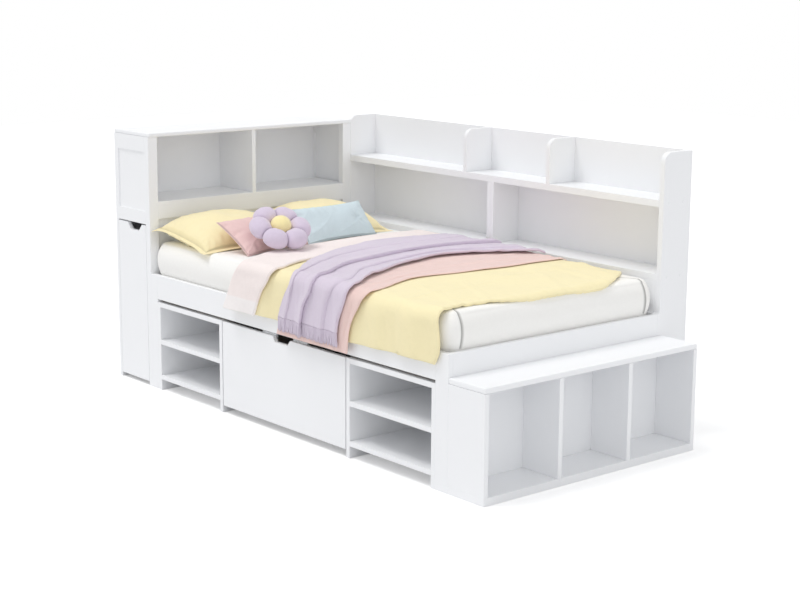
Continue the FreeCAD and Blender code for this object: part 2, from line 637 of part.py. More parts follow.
def make_corner_plate(label, seam_text, y_text):
    """A steel plate with four screw holes across the seam between a post and its rail."""
    body = doc.addObject("PartDesign::Body", label)
    corners = (("0", "0"), ("plate_length", "0"), ("plate_length", "plate_height"), ("0", "plate_height"))
    feature = pad(body, outline(body, "XZ_Plane", corners), "plate_thick", backwards=True)
    doc.recompute()
    full = feature.Shape.Volume
    holes = body.newObject("Sketcher::SketchObject", label + "_holes")
    holes.AttachmentSupport = [(plane_of(body, "XZ_Plane"), "")]
    holes.MapMode = "FlatFace"
    index = 0
    for u_text in ("plate_length / 8", "plate_length * 7 / 8"):
        for v_text in ("plate_height / 4", "plate_height * 3 / 4"):
            holes.addGeometry(Part.Circle(FreeCAD.Vector(value(u_text), value(v_text), 0), Z_AXIS,
                                          value("plate_hole")), False)
            for kind, text in (("DistanceX", u_text), ("DistanceY", v_text)):
                number = holes.addConstraint(Sketcher.Constraint(kind, -1, 1, index, 3, value(text)))
                holes.renameConstraint(number, f"{kind}_{index}")
                holes.setExpression(f"Constraints.{kind}_{index}", bind(text))
            number = holes.addConstraint(Sketcher.Constraint("Radius", index, value("plate_hole")))
            holes.renameConstraint(number, f"hole_{index}")
            holes.setExpression(f"Constraints.hole_{index}", bind("plate_hole"))
            index += 1
    pocket = body.newObject("PartDesign::Pocket", label + "_pocket")
    pocket.Profile = holes
    pocket.Type = "ThroughAll"
    body.Tip = pocket
    doc.recompute()
    cut = index * math.pi * value("plate_hole") ** 2 * value("plate_thick")
    if abs(full - pocket.Shape.Volume - cut) > TOUCH * full:
        raise RuntimeError(label + ": the screw holes aren't cut through")
    return place(body, (f"{seam_text} - plate_length / 2", y_text, "rail_top - plate_height - plate_drop"))


# ---------------------------------------------------------------- foot bench

def make_bench():
    """The open bench bookcase across the foot: three cubes under one top."""
    height = "bench_top_height - bench_top_thick - bench_base_thick"
    bay = "(bed_width - 4 * board) / 3"
    node(board("bench_top", ("foot_face", "0", "bench_top_height - bench_top_thick"),
               ("bench_depth", "bed_width", "bench_top_thick"), "bench_nose_round"))
    node(board("bench_base", ("foot_face", "0", "0"), ("bench_depth", "bed_width", "bench_base_thick")))
    sides = [
        board(f"bench_side_{side}", ("foot_face", y_text, "bench_base_thick"),
              ("bench_depth", "board", height))
        for side, y_text in (("near", "0"), ("far", "bed_width - board"))
    ]
    node(group("bench_sides", sides))
    dividers = [
        board(f"bench_divider_{number}",
              ("foot_face + bench_back_thick", f"{number} * (board + {bay})", "bench_base_thick"),
              ("bench_depth - bench_back_thick", "board", height))
        for number in (1, 2)
    ]
    node(group("bench_dividers", dividers))
    node(board("bench_back", ("foot_face", "board", "bench_base_thick"),
               ("bench_back_thick", "bed_width - 2 * board", height)))


# ---------------------------------------------------------------- side bookcase

def upright(label, x_text, thickness, low_text, rounded):
    """An upright board of the side bookcase; the front top corner is rounded where it stands free."""
    body = doc.addObject("PartDesign::Body", label)
    top_text = "case_height" if rounded else "upper_shelf_top - upper_shelf_thick"
    height = f"{top_text} - ({low_text})"
    blank = body.newObject("PartDesign::AdditiveBox", label + "_blank")
    for side, text in zip(("Length", "Width", "Height"), (thickness, "case_depth", height)):
        blank.setExpression(side, bind(text))
    body.Tip = blank
    if rounded:
        top = value(height)
        corner = ease(body, blank, "case_corner", lambda edge: (
            all(vertex.Point.y < TOUCH and abs(vertex.Point.z - top) < TOUCH for vertex in edge.Vertexes)))
        doc.recompute()
        second = body.newObject("PartDesign::Fillet", label + "_edges")
        second.Base = (corner, ["Face1"])
        second.UseAllEdges = True
        second.setExpression("Radius", bind("edge_round"))
        body.Tip = second
    else:
        ease(body, blank)
    return place(body, (x_text, "bed_width", low_text))


def make_bookcase():
    """The bookcase along the wall side, two bays wide, with three open boxes above its upper shelf."""
    node(board("bookcase_back_panel", ("case_head", "case_back_face", "0"),
               ("case_foot - case_head", "case_back_thick", "case_height")))
    node(upright("bookcase_head_end", "case_head", "case_end_thick", "0", True))
    node(upright("bookcase_foot_end", "case_foot - case_end_thick", "case_end_thick", "0", True))
    first = "case_head + case_end_thick"
    last = "case_foot - case_end_thick"
    node(board("bookcase_upper_shelf", (first, "bed_width", "upper_shelf_top - upper_shelf_thick"),
               (f"{last} - ({first})", "case_depth", "upper_shelf_thick")))
    node(group("bookcase_centre_panels", [
        upright("centre_panel_head", "case_centre - board", "board", "0", False),
        upright("centre_panel_foot", "case_centre", "board", "0", False)]))
    bays = (("head", first, f"case_centre - board - ({first})"),
            ("foot", "case_centre + board", f"{last} - (case_centre + board)"))
    shelves = [
        board(f"{level}_shelf_{name}", (x_text, "bed_width", f"{top_text} - lower_shelf_thick"),
              (width, "case_depth", "lower_shelf_thick"))
        for name, x_text, width in bays
        for level, top_text in (("lower", "lower_shelf_top"), ("bottom", "bottom_shelf_top"))
    ]
    skirts = [
        board(f"skirt_{name}", (x_text, "bed_width", "lower_shelf_top - lower_shelf_thick - skirt_height"),
              (width, "board", "skirt_height"))
        for name, x_text, width in bays
    ]
    node(group("bookcase_lower_shelves", shelves + skirts))
    node(group("bookcase_upper_dividers", [
        upright("upper_divider_head", "first_divider", "board", "upper_shelf_top", True),
        upright("upper_divider_foot", "second_divider", "board", "upper_shelf_top", True)]))
    caps = []
    for shelf, z_text in (("upper", "upper_shelf_top - upper_shelf_thick / 2"),
                          ("lower", "lower_shelf_top - lower_shelf_thick / 2")):
        for side, y_text in (("front", "bed_width + cap_inset"), ("back", "case_back_face - cap_inset")):
            cap = doc.addObject("Part::Cylinder", f"cap_{shelf}_{side}")
            cap.setExpression("Radius", bind("cap_radius"))
            cap.setExpression("Height", bind("cap_thick"))
            place(cap, ("case_foot", y_text, z_text))
            cap.Placement = FreeCAD.Placement(cap.Placement.Base, FreeCAD.Rotation(Y_AXIS, 90))
            caps.append(cap)
    node(group("screw_caps", caps))


make_headboard()
make_pullout()
make_bed_frame()
make_units()
make_drawer()
make_bench()
make_bookcase()


# ---------------------------------------------------------------- soft pieces

def vector(x, y, z):
    """A point measured from the bed's rear near floor corner."""
    return FreeCAD.Vector(x, y, z)


def arc(start, middle, end):
    """An arc through three points."""
    return Part.Arc(start, middle, end).toShape()


def line(start, end):
    """A straight edge."""
    return Part.LineSegment(start, end).toShape()


def soft(label, shape, turn=None):
    """A soft piece as a feature of its own; its place follows the origin's sizes."""
    if min(solid.Volume for solid in shape.Solids) <= 0:
        raise RuntimeError(label + " has a solid that is inside out")
    item = doc.addObject("Part::Feature", label)
    item.Shape = shape
    if turn is not None:
        item.Placement = FreeCAD.Placement(FreeCAD.Vector(), turn)
    return item


def rounded_outline(half_x, half_y, corner, height):
    """A rectangle with round corners, centred, at a height."""
    edges = []
    signs = ((1, -1), (1, 1), (-1, 1), (-1, -1))
    for index, (sx, sy) in enumerate(signs):
        nx, ny = signs[(index + 1) % 4]
        cx, cy = sx * (half_x - corner), sy * (half_y - corner)
        before = vector(cx, sy * half_y, height) if index % 2 == 0 else vector(sx * half_x, cy, height)
        after = vector(sx * half_x, cy, height) if index % 2 == 0 else vector(cx, sy * half_y, height)
        reach = corner * math.sqrt(0.5)
        edges.append(arc(before, vector(cx + sx * reach, cy + sy * reach, height), after))
        cx_next, cy_next = nx * (half_x - corner), ny * (half_y - corner)
        if index % 2 == 0:
            edges.append(line(after, vector(nx * half_x, cy_next, height)))
        else:
            edges.append(line(after, vector(cx_next, ny * half_y, height)))
    return Part.Wire(edges)


# the mattress's side above the rails: share of its free height, shares of the swell and of the shoulder there
MATTRESS_SIDE = ((0, 0, 0), (0.25, 0.8, 0), (0.5, 1, 0), (0.72, 0.4, 0),
                 (0.88, 0, 0.25), (0.97, 0, 0.62), (1, 0, 1))


def make_mattress():
    """A mattress whose sides swell out above the rails and round over into the top."""
    start = value("head_depth + mattress_end_gap")
    end = value("foot_inner - mattress_foot_gap")
    near = value("board + plate_thick + mattress_side_gap")
    far = value("bed_width - board - plate_thick - mattress_side_gap")
    half_x, half_y = (end - start) / 2, (far - near) / 2
    low, top = value("mattress_low"), value("mattress_top")
    above = value("rail_top") - low
    swell, shoulder, corner = value("mattress_swell"), value("mattress_shoulder"), value("mattress_corner")
    under = value("mattress_under")
    levels = [(0, -under), (value("mattress_under_rise"), -under / 5)]
    levels += [(above + share * (top - low - above), out * swell - back * shoulder)
               for share, out, back in MATTRESS_SIDE]
    wires = [rounded_outline(half_x + grow, half_y + grow, corner + grow, z) for z, grow in levels]
    body = soft("mattress", Part.makeLoft(wires, True, False))
    return place(body, ("(head_depth + mattress_end_gap + foot_inner - mattress_foot_gap) / 2",
                        "bed_width / 2", "mattress_low"))


LEAST_PULL = 0.05  # an arc flatter than this is no arc


def pulled_outline(half_x, half_y, pull, height):
    """Four corners joined by arcs whose middles lie inwards by pull."""
    if abs(pull) < LEAST_PULL:
        pull = LEAST_PULL
    corners = [vector(sx * half_x, sy * half_y, height) for sx, sy in ((1, -1), (1, 1), (-1, 1), (-1, -1))]
    middles = [vector(half_x - pull, 0, height), vector(0, half_y - pull, height),
               vector(pull - half_x, 0, height), vector(0, pull - half_y, height)]
    return Part.Wire([arc(corners[i], middles[i], corners[(i + 1) % 4]) for i in range(4)])


CUSHION_LEVELS = 4  # outlines above a cushion's seam, and below it
LAST_ANGLE = 78  # degrees up the crown of the last outline
CUSHION_SHRINK = 0.75  # power of the cosine by which the outlines shrink: less is squarer
CUSHION_BOW = 0.1  # bow of the last outline's sides, as a share of the cushion's short side


def cushion_shape(size_x, size_y, crown, belly, pull):
    """Outlines stacked through the seam: each shrinks like the cosine of its angle while its height
    grows like the sine, so the sides are drawn in at the seam and the top is crowned."""
    wires = []
    for level in range(-CUSHION_LEVELS, CUSHION_LEVELS + 1):
        angle = math.radians(LAST_ANGLE) * level / CUSHION_LEVELS
        shrink = math.cos(angle) ** CUSHION_SHRINK
        reach = crown if level > 0 else belly
        height = reach * math.sin(angle) / math.sin(math.radians(LAST_ANGLE))
        bow = pull * shrink - CUSHION_BOW * min(size_x, size_y) * (1 - shrink)
        wires.append(pulled_outline(size_x / 2 * shrink, size_y / 2 * shrink, bow, height))
    return Part.makeLoft(wires, True, False)


def lean_and_turn(lean, turn):
    """A rotation that lifts the head side by lean and then turns the piece about the upright."""
    return FreeCAD.Rotation(Z_AXIS, value(turn)) * FreeCAD.Rotation(Y_AXIS, value(lean))


def moved(shape, turn, spot):
    """A turned copy of a shape at a spot, for measuring."""
    copy = shape.copy()
    copy.Placement = FreeCAD.Placement(spot, turn)
    return copy


def rest_on_mattress(shape, turn):
    """How high a turned shape's middle lies above the mattress when it rests on it."""
    return -moved(shape, turn, FreeCAD.Vector()).optimalBoundingBox(True, False).ZMin + value("soft_gap")


def box_gap(one, other):
    """The gap between two shapes' boxes, never more than the gap between the shapes."""
    a, b = one.BoundBox, other.BoundBox
    return max(0, b.XMin - a.XMax, a.XMin - b.XMax, b.YMin - a.YMax, a.YMin - b.YMax,
               b.ZMin - a.ZMax, a.ZMin - b.ZMax)


def clearance(shape, obstacles):
    """The least distance from a shape to the obstacles, nearest boxes first."""
    best = math.inf
    for other in sorted(obstacles, key=lambda item: box_gap(shape, item)):
        if box_gap(shape, other) < best:
            best = min(best, shape.Shells[0].distToShape(other.Shells[0])[0])
    return best


SLIDE_STEPS = 8


def slide_to(shape, turn, spot, obstacles, direction):
    """Slides a turned shape along a direction, by its clearance each time, until it all but touches."""
    for _ in range(SLIDE_STEPS):
        free = clearance(moved(shape, turn, spot), obstacles) - value("soft_gap")
        if free < value("soft_gap"):
            break
        spot = spot + direction * free
    return spot


def place_soft(label, shape, turn, spot):
    """A soft piece at a spot; only the shift to the origin is bound here, as the spot is worked out."""
    return place(soft(label, shape, turn), (f"{spot.x:.4f}", f"{spot.y:.4f}", f"{spot.z:.4f}"))


def make_pillows():
    """Two pillows side by side, their head edges raised against the headboard."""
    shape = cushion_shape(value("pillow_depth"), value("pillow_width"), value("pillow_crown"),
                          value("pillow_belly"), value("pillow_pull"))
    turn = FreeCAD.Rotation(Y_AXIS, value("pillow_lean"))
    box = moved(shape, turn, FreeCAD.Vector()).optimalBoundingBox(True, False)
    spots = []
    for number, name in enumerate(("near", "far")):
        spot = FreeCAD.Vector(
            value("head_depth + pillow_inset") - box.XMin,
            value(f"pillow_side_inset + pillow_width / 2 + {number} * (pillow_width + pillow_gap)"),
            value("mattress_top") + rest_on_mattress(shape, turn))
        node(place_soft(f"pillow_{name}", shape, turn, spot))
        spots.append(moved(shape, turn, spot))
    return spots


def make_cushions(pillows):
    """The pink and the blue cushion lean on the pillows."""
    leaning = []
    for name in ("pink", "blue"):
        shape = cushion_shape(value(f"{name}_height"), value(f"{name}_length"), value("cushion_crown"),
                              value("cushion_belly"), value("cushion_pull"))
        turn = lean_and_turn(f"{name}_lean", f"{name}_turn")
        start = FreeCAD.Vector(value(f"head_depth + pillow_depth + {name}_height / 2"), value(f"{name}_y"),
                               value("mattress_top") + rest_on_mattress(shape, turn))
        spot = slide_to(shape, turn, start, pillows, -X_AXIS)
        node(place_soft(f"cushion_{name}", shape, turn, spot))
        leaning.append(moved(shape, turn, spot))
    return leaning


def make_flower(behind):
    """A flower cushion, a ring of round petals about a round middle, lying on the cushions and the duvet."""
    turn = lean_and_turn("flower_lean", "flower_turn")
    count = round(value("petal_count"))
    ring, petal = value("petal_ring"), value("petal_radius")
    petals = []
    for number in range(count):
        angle = 2 * math.pi * (number + 0.5) / count
        middle = FreeCAD.Vector(ring * math.cos(angle), ring * math.sin(angle), 0)
        petals.append(Part.makeSphere(petal, middle))
    bud_place = FreeCAD.Vector(0, 0, value("bud_rise"))
    bud = Part.makeSphere(value("bud_radius"), bud_place)
    hollow = Part.makeSphere(value("bud_radius + soft_gap"), bud_place)
    ring_shape = petals[0].multiFuse(petals[1:]).cut(hollow)
    height = value("mattress_top") + rest_on_mattress(ring_shape, turn)
    start = FreeCAD.Vector(value("head_depth + flower_step"), value("flower_y"),
                           height + value("pink_height"))
    spot = slide_to(ring_shape, turn, start, behind, -Z_AXIS)
    spot.z = max(spot.z, height)
    node(place_soft("flower_cushion_petals", ring_shape, turn, spot))
    node(place_soft("flower_cushion_middle", bud, turn, spot))


def band_section(x, slant, outer_y, top, hem, thickness, far):
    """A cloth's section across the bed at one place along it: up the side, round the corner, over the top."""
    corner = value("duvet_corner")
    inner_y, under = outer_y + thickness, top - thickness
    width = value("bed_width")

    def point(y, z):
        return vector(x - slant * y / width, y, z)

    bend = math.sqrt(0.5)
    inner_corner = corner - thickness
    edges = [
        line(point(outer_y, hem), point(outer_y, top - corner)),
        arc(point(outer_y, top - corner), point(outer_y + corner * (1 - bend), top - corner * (1 - bend)),
            point(outer_y + corner, top)),
        line(point(outer_y + corner, top), point(far, top)),
        line(point(far, top), point(far, under)),
        line(point(far, under), point(inner_y + inner_corner, under)),
        arc(point(inner_y + inner_corner, under),
            point(inner_y + inner_corner * (1 - bend), under - inner_corner * (1 - bend)),
            point(inner_y, under - inner_corner)),
        line(point(inner_y, under - inner_corner), point(inner_y, hem)),
        line(point(inner_y, hem), point(outer_y, hem)),
    ]
    return Part.Wire(edges)


FLUTE_STEPS = 4  # sections along one hanging fold of the duvet
HEM_SWING = 9  # radians of the wave along the duvet's hanging edge
TURNBACK_SHARES = (0, 0.25, 0.5, 0.75, 1)
TURNBACK_TWIST = 0.2  # how much less the turned-back part slants at its inner edge


def make_duvet():
    """The duvet over the mattress and down the near side in flutes, and its turned-back end on top."""
    head, foot = value("duvet_head"), value("duvet_foot")
    flutes, depth = round(value("duvet_flute_count")), value("duvet_flute")
    slant, thick = value("duvet_slant"), value("duvet_thick")
    hem, wave = value("duvet_hem"), value("duvet_hem_wave")
    flat_out = value("duvet_hang_gap") + thick
    steps = FLUTE_STEPS * flutes
    wires = []
    for step in range(steps + 1):
        share = step / steps
        swing = depth * (0.5 - 0.5 * math.cos(2 * math.pi * flutes * share))
        wires.append(band_section(head + (foot - head) * share, slant * (1 - share), -flat_out - swing,
                                  value("duvet_top"), hem + wave * math.sin(HEM_SWING * share), thick,
                                  value("bedding_far")))
    main = Part.makeLoft(wires, True, True)
    edge, wide = head - value("turnback_step"), value("turnback_width")
    out = value("duvet_out + soft_gap + turnback_thick")
    top = value("turnback_top")
    back_wires = [
        band_section(edge + wide * share, slant * (1 - TURNBACK_TWIST * share), -out, top,
                     hem + wave * (2 * share - 1), value("turnback_thick"), value("bedding_far"))
        for share in TURNBACK_SHARES
    ]
    turned = Part.makeLoft(back_wires, True, True)
    node(place(soft("duvet", Part.makeCompound([main, turned])), ("0", "0", "0")))
    return turned


def throw_section(x_left, x_right, y, z, turn, folds, height, thickness):
    """A throw's section square to its run: arcs side by side, each a fold, with the cloth's thickness."""
    out = FreeCAD.Vector(0, -math.cos(turn), math.sin(turn))
    base = FreeCAD.Vector(0, y, z)
    step = (x_right - x_left) / folds

    def point(x, offset):
        return base + out * offset + FreeCAD.Vector(x, 0, 0)

    edges = []
    for index in range(folds):
        left, right = x_left + step * index, x_left + step * (index + 1)
        edges.append(arc(point(left, 0), point((left + right) / 2, height), point(right, 0)))
    edges.append(line(point(x_right, 0), point(x_right, thickness)))
    for index in reversed(range(folds)):
        left, right = x_left + step * index, x_left + step * (index + 1)
        edges.append(arc(point(right, thickness), point((left + right) / 2, height + thickness),
                         point(left, thickness)))
    edges.append(line(point(x_left, thickness), point(x_left, 0)))
    return edges


def ruled_solid(sections):
    """A solid whose skin joins each edge of a section straight to the same edge of the next one."""
    faces = [Part.Face(Part.Wire(sections[0])), Part.Face(Part.Wire(sections[-1]))]
    for before, after in zip(sections, sections[1:]):
        faces += [Part.makeRuledSurface(one, other, 1) for one, other in zip(before, after)]
    shell = Part.makeShell(faces)
    shell.sewShape()
    return Part.makeSolid(shell)


THROW_BENDS = 4  # sections round the corner where a throw turns down over the side
THROW_PARTS = 8  # straight parts of a throw across the top


def throw_shape(out, low, hem, edges_at, folds, height, far):
    """A throw up the near side, round the corner and across the top. edges_at gives its two edges by share.
    Between the sections the throw is straight, so those round the corner lie on a wider arc than the corner:
    the straight parts then touch the corner and don't cut it."""
    corner = value("duvet_corner")
    rise = low - corner
    thickness = value("throw_thick")
    bend = math.pi / 2 / THROW_BENDS
    wider = corner / math.cos(bend / 2)
    run = [(-out, hem, 0.0), (-out, (hem + rise) / 2, 0.0)]  # y, z and turn of each section
    for number in range(THROW_BENDS):
        angle = bend * (number + 0.5)
        run.append((-out + corner - wider * math.cos(angle), rise + wider * math.sin(angle), angle))
    flat_start = run[-1][0]
    for number in range(1, THROW_PARTS + 1):
        run.append((flat_start + (far - flat_start) * number / THROW_PARTS, low, math.pi / 2))
    lengths = [0.0]
    for before, after in zip(run, run[1:]):
        lengths.append(lengths[-1] + math.hypot(after[0] - before[0], after[1] - before[1]))
    sections = []
    for (y, z, turn), length in zip(run, lengths):
        left, right = edges_at(length / lengths[-1])
        sections.append(throw_section(left, right, y, z, turn, folds, height, thickness))
    return ruled_solid(sections)


def edge_line(points):
    """A function that follows straight runs between (share, distance from the headboard's face) pairs."""
    start = value("head_depth")

    def at(share):
        for (s0, x0), (s1, x1) in zip(points, points[1:]):
            if share <= s1:
                return start + x0 + (x1 - x0) * (share - s0) / (s1 - s0)
        return start + points[-1][1]
    return at


# edges of the throws: share of the run from the hanging end to the wall, distance from the headboard's face
LAVENDER_LEFT = ((0, 957), (0.18, 1052), (0.28, 982), (0.38, 882), (0.57, 749), (0.77, 693), (1, 762))
LAVENDER_RIGHT = ((0, 1357), (0.18, 1450), (0.28, 1356), (0.4, 1270), (0.55, 1196), (0.7, 1149), (1, 1327))
PINK_LEFT = ((0, 969), (0.18, 1057), (0.4, 957), (0.7, 917), (1, 897))
PINK_RIGHT = ((0, 1417), (0.18, 1512), (0.4, 1422), (0.7, 1455), (1, 1469))


def make_throws():
    """The pink throw on the duvet, and the lavender throw on both."""
    far, folds, fold = value("bedding_far"), round(value("throw_fold_count")), value("throw_fold")
    for name, left, right, height in (("pink", PINK_LEFT, PINK_RIGHT, fold / 2),
                                      ("lavender", LAVENDER_LEFT, LAVENDER_RIGHT, fold)):
        left_at, right_at = edge_line(left), edge_line(right)
        shape = throw_shape(value(f"{name}_out"), value(f"{name}_low"), value(f"{name}_throw_hem"),
                            lambda share: (left_at(share), right_at(share)), folds, height, far)
        node(place(soft(f"throw_{name}", shape), ("0", "0", "0")))


node(make_mattress())
pillow_shapes = make_pillows()
turned_back = make_duvet()
pink_shape = make_cushions(pillow_shapes)[0]
make_flower([pink_shape, turned_back])
make_throws()

# ---------------------------------------------------------------- checks and files

doc.recompute()
for item in doc.Objects:
    if "Invalid" in item.State or "Error" in item.State:
        raise RuntimeError(f"{item.Label} did not build: {item.State}")
for item in NODES:
    shape = item.Shape
    if shape.isNull() or not shape.isValid() or not shape.Solids:
        raise RuntimeError(f"{item.Label} is not a valid solid")
for item in NODES:
    item.Shape.exportStep(f"parts/{item.Label}.step")
print(len(NODES), "nodes,", sum(len(item.Shape.Solids) for item in NODES), "solids")
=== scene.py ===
"""Looks of a twin bookcase bed: painted boards, a fitted sheet, pillows, cushions, a duvet and two throws.

Measures are metres. Bed measures start at the rear near floor corner: x towards the foot, y towards the wall,
z up. The frame's own place is added when a mesh is made.
"""

import math

import bmesh
import bpy
import numpy as np
from mathutils import Matrix, Vector


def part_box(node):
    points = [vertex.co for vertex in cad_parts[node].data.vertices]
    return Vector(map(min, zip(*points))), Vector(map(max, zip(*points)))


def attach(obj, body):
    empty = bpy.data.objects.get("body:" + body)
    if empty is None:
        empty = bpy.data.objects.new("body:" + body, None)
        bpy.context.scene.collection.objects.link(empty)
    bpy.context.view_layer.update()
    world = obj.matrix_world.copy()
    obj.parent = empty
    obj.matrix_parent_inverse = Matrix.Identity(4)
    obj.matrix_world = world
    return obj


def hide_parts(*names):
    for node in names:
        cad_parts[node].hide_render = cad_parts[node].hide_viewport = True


bl_info = {
    "name": "Bookcase bed",
    "version": (1, 0, 0),
    "blender": (4, 5, 0),
    "location": "3D View > Sidebar > Bed",
    "description": "Dresses the frame of a bookcase bed with paint, bedding and cushions",
    "category": "Object",
}

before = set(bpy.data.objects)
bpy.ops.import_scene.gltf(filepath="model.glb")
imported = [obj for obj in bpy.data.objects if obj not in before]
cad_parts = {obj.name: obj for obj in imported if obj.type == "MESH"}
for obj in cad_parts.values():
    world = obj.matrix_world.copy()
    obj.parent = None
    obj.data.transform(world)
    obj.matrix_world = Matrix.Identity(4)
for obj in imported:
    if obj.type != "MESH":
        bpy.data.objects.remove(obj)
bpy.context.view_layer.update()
CORNER = np.array(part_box("headboard_back_panel")[0])
WELD_GAP = 1e-6  # points nearer than this are one point
FULL_TURN, HALF_TURN, QUARTER_TURN = 2 * math.pi, math.pi, math.pi / 2


def span(node):
    """Lowest and highest corner of a CAD node, in bed measures."""
    low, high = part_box(node)
    return np.array(low) - CORNER, np.array(high) - CORNER


def linear(red, green, blue):
    """A screen colour of 0 to 255 as the linear colour that settings and shaders hold."""
    share = np.array([red, green, blue]) / 255
    curve = np.where(share <= 0.04045, share / 12.92, ((share + 0.055) / 1.055) ** 2.4)
    return tuple(float(c) for c in curve)


# ---------------------------------------------------------------- settings

def colour_setting(name, description, *screen):
    """A colour that the user may change."""
    return bpy.props.FloatVectorProperty(name=name, description=description, subtype="COLOR", size=3,
                                         min=0, max=1, default=linear(*screen))


def size_setting(name, description, default):
    """A length that the user may change."""
    return bpy.props.FloatProperty(name=name, description=description, default=default, min=0,
                                   subtype="DISTANCE", unit="LENGTH")


class BedFrameSettings(bpy.types.PropertyGroup):
    """Colours of the boards and their fittings."""
    paint: colour_setting("Paint", "Colour of the painted boards", 247, 248, 250)
    pine: colour_setting("Pine", "Colour of the bare slats and beams", 222, 190, 142)
    wheel: colour_setting("Wheels", "Colour of the floor wheels", 118, 122, 126)
    bracket: colour_setting("Brackets", "Colour of the wheel brackets", 214, 217, 219)
    steel: colour_setting("Plates", "Colour of the corner plates", 176, 178, 180)


class BedBeddingSettings(bpy.types.PropertyGroup):
    """Colours and sizes of the bedding."""
    sheet: colour_setting("Sheet", "Colour of the fitted sheet", 253, 252, 249)
    pillow: colour_setting("Pillows", "Colour of the pillow covers", 253, 240, 195)
    pink: colour_setting("Pink cushion", "Colour of the pink cushion", 241, 208, 205)
    blue: colour_setting("Blue cushion", "Colour of the blue cushion", 214, 229, 235)
    petals: colour_setting("Petals", "Colour of the flower cushion's petals", 219, 206, 225)
    bud: colour_setting("Flower middle", "Colour of the flower cushion's middle", 253, 239, 182)
    duvet: colour_setting("Duvet", "Colour of the duvet's upper side", 253, 241, 196)
    reverse: colour_setting("Duvet reverse", "Colour of the duvet's turned-back side", 251, 240, 237)
    lavender: colour_setting("Lavender throw", "Colour of the upper throw", 223, 211, 227)
    rose: colour_setting("Pink throw", "Colour of the lower throw", 244, 214, 207)
    duvet_thick: size_setting("Duvet thickness", "Thickness of the duvet", 0.0125)
    turnback_thick: size_setting("Fold thickness", "Thickness of the duvet's turned-back part", 0.0105)
    throw_thick: size_setting("Throw thickness", "Thickness of the throws", 0.0036)
    wrinkle: size_setting("Wrinkles", "Depth of the wrinkles in the covers", 0.0032)
    fringe: size_setting("Fringe", "Length of the lavender throw's fringe", 0.062)


class BedStageSettings(bpy.types.PropertyGroup):
    """Light of the scene."""
    around: bpy.props.FloatProperty(name="Light around", description="Strength of the light from all sides",
                                    default=0.68, min=0)
    above: bpy.props.FloatProperty(name="Light above", description="Strength of the soft light from above",
                                   default=1.15, min=0)


# ---------------------------------------------------------------- nodes and materials

def put(tree, kind, inputs=None, **settings):
    """Adds a shader node; inputs maps a socket's name or number to a value or to another node's output."""
    item = tree.nodes.new("ShaderNode" + kind)
    for name, setting in settings.items():
        setattr(item, name, setting)
    for socket, source in (inputs or {}).items():
        if isinstance(source, bpy.types.NodeSocket):
            tree.links.new(source, item.inputs[socket])
        else:
            item.inputs[socket].default_value = source
    return item


def calc(tree, operation, *values):
    """The output of a Math node."""
    return put(tree, "Math", dict(enumerate(values)), operation=operation).outputs[0]


def times(tree, one, other):
    """Two values multiplied."""
    return calc(tree, "MULTIPLY", one, other)


def plus(tree, one, other):
    """Two values added."""
    return calc(tree, "ADD", one, other)


def ramp(tree, value, slope, base):
    """A value times a slope plus a base."""
    return plus(tree, times(tree, value, slope), base)


def humps(tree, angle):
    """The size of the angle's sine."""
    return calc(tree, "ABSOLUTE", calc(tree, "SINE", angle))


def mixed(tree, share, one, other, kind="MIX"):
    """The colour output of a Mix node."""
    return put(tree, "Mix", {0: share, 6: one, 7: other}, data_type="RGBA", blend_type=kind).outputs[2]


def noise(tree, vector, scale, detail=2.0, roughness=0.5):
    """The value of a noise texture."""
    sockets = {"Vector": vector, "Scale": scale, "Detail": detail, "Roughness": roughness}
    return put(tree, "TexNoise", sockets).outputs[0]


def shared(name, inputs, outputs, build):
    """A shader node group, made once: build gets the tree and its inputs and returns the outputs' sources."""
    if name in bpy.data.node_groups:
        return bpy.data.node_groups[name]
    tree = bpy.data.node_groups.new(name, "ShaderNodeTree")
    for label, kind in inputs:
        tree.interface.new_socket(label, in_out="INPUT", socket_type="NodeSocket" + kind)
    for label, kind in outputs:
        tree.interface.new_socket(label, in_out="OUTPUT", socket_type="NodeSocket" + kind)
    entry, leave = tree.nodes.new("NodeGroupInput"), tree.nodes.new("NodeGroupOutput")
    for (label, _), source in zip(outputs, build(tree, entry.outputs)):
        tree.links.new(source, leave.inputs[label])
    return tree


def use(tree, group, inputs):
    """Places a shader node group with its own values."""
    return put(tree, "Group", inputs, node_tree=group).outputs


def shaded(tree, at, value):
    """The group's colour times a grey of that value."""
    grey = put(tree, "CombineColor", {0: value, 1: value, 2: value}).outputs[0]
    return mixed(tree, 1.0, at["Colour"], grey, "MULTIPLY")


def shade_and_highlight_by_height(tree, at, height, level):
    """The group's colour with painted shade where the height is under a level and a painted highlight above
    it, by the Contrast.
    """
    base = calc(tree, "SUBTRACT", 1.0, times(tree, at["Contrast"], level))
    return shaded(tree, at, plus(tree, times(tree, height, at["Contrast"]), base))


# sockets that several groups have
VECTOR, COLOUR = ("Vector", "Vector"), ("Colour", "Color")
HEIGHT, CONTRAST = ("Height", "Float"), ("Contrast", "Float")
CLOTH = [COLOUR, HEIGHT]


def mottle_group():
    """Colour times one plus or minus Amount of a soft noise of that Scale."""
    def build(tree, at):
        soft = noise(tree, at["Vector"], at["Scale"])
        swing = times(tree, calc(tree, "SUBTRACT", soft, 0.5), times(tree, at["Amount"], 2.0))
        return [shaded(tree, at, plus(tree, swing, 1.0))]
    return shared("Mottled tone", [VECTOR, COLOUR, ("Scale", "Float"), ("Amount", "Float")], [COLOUR], build)


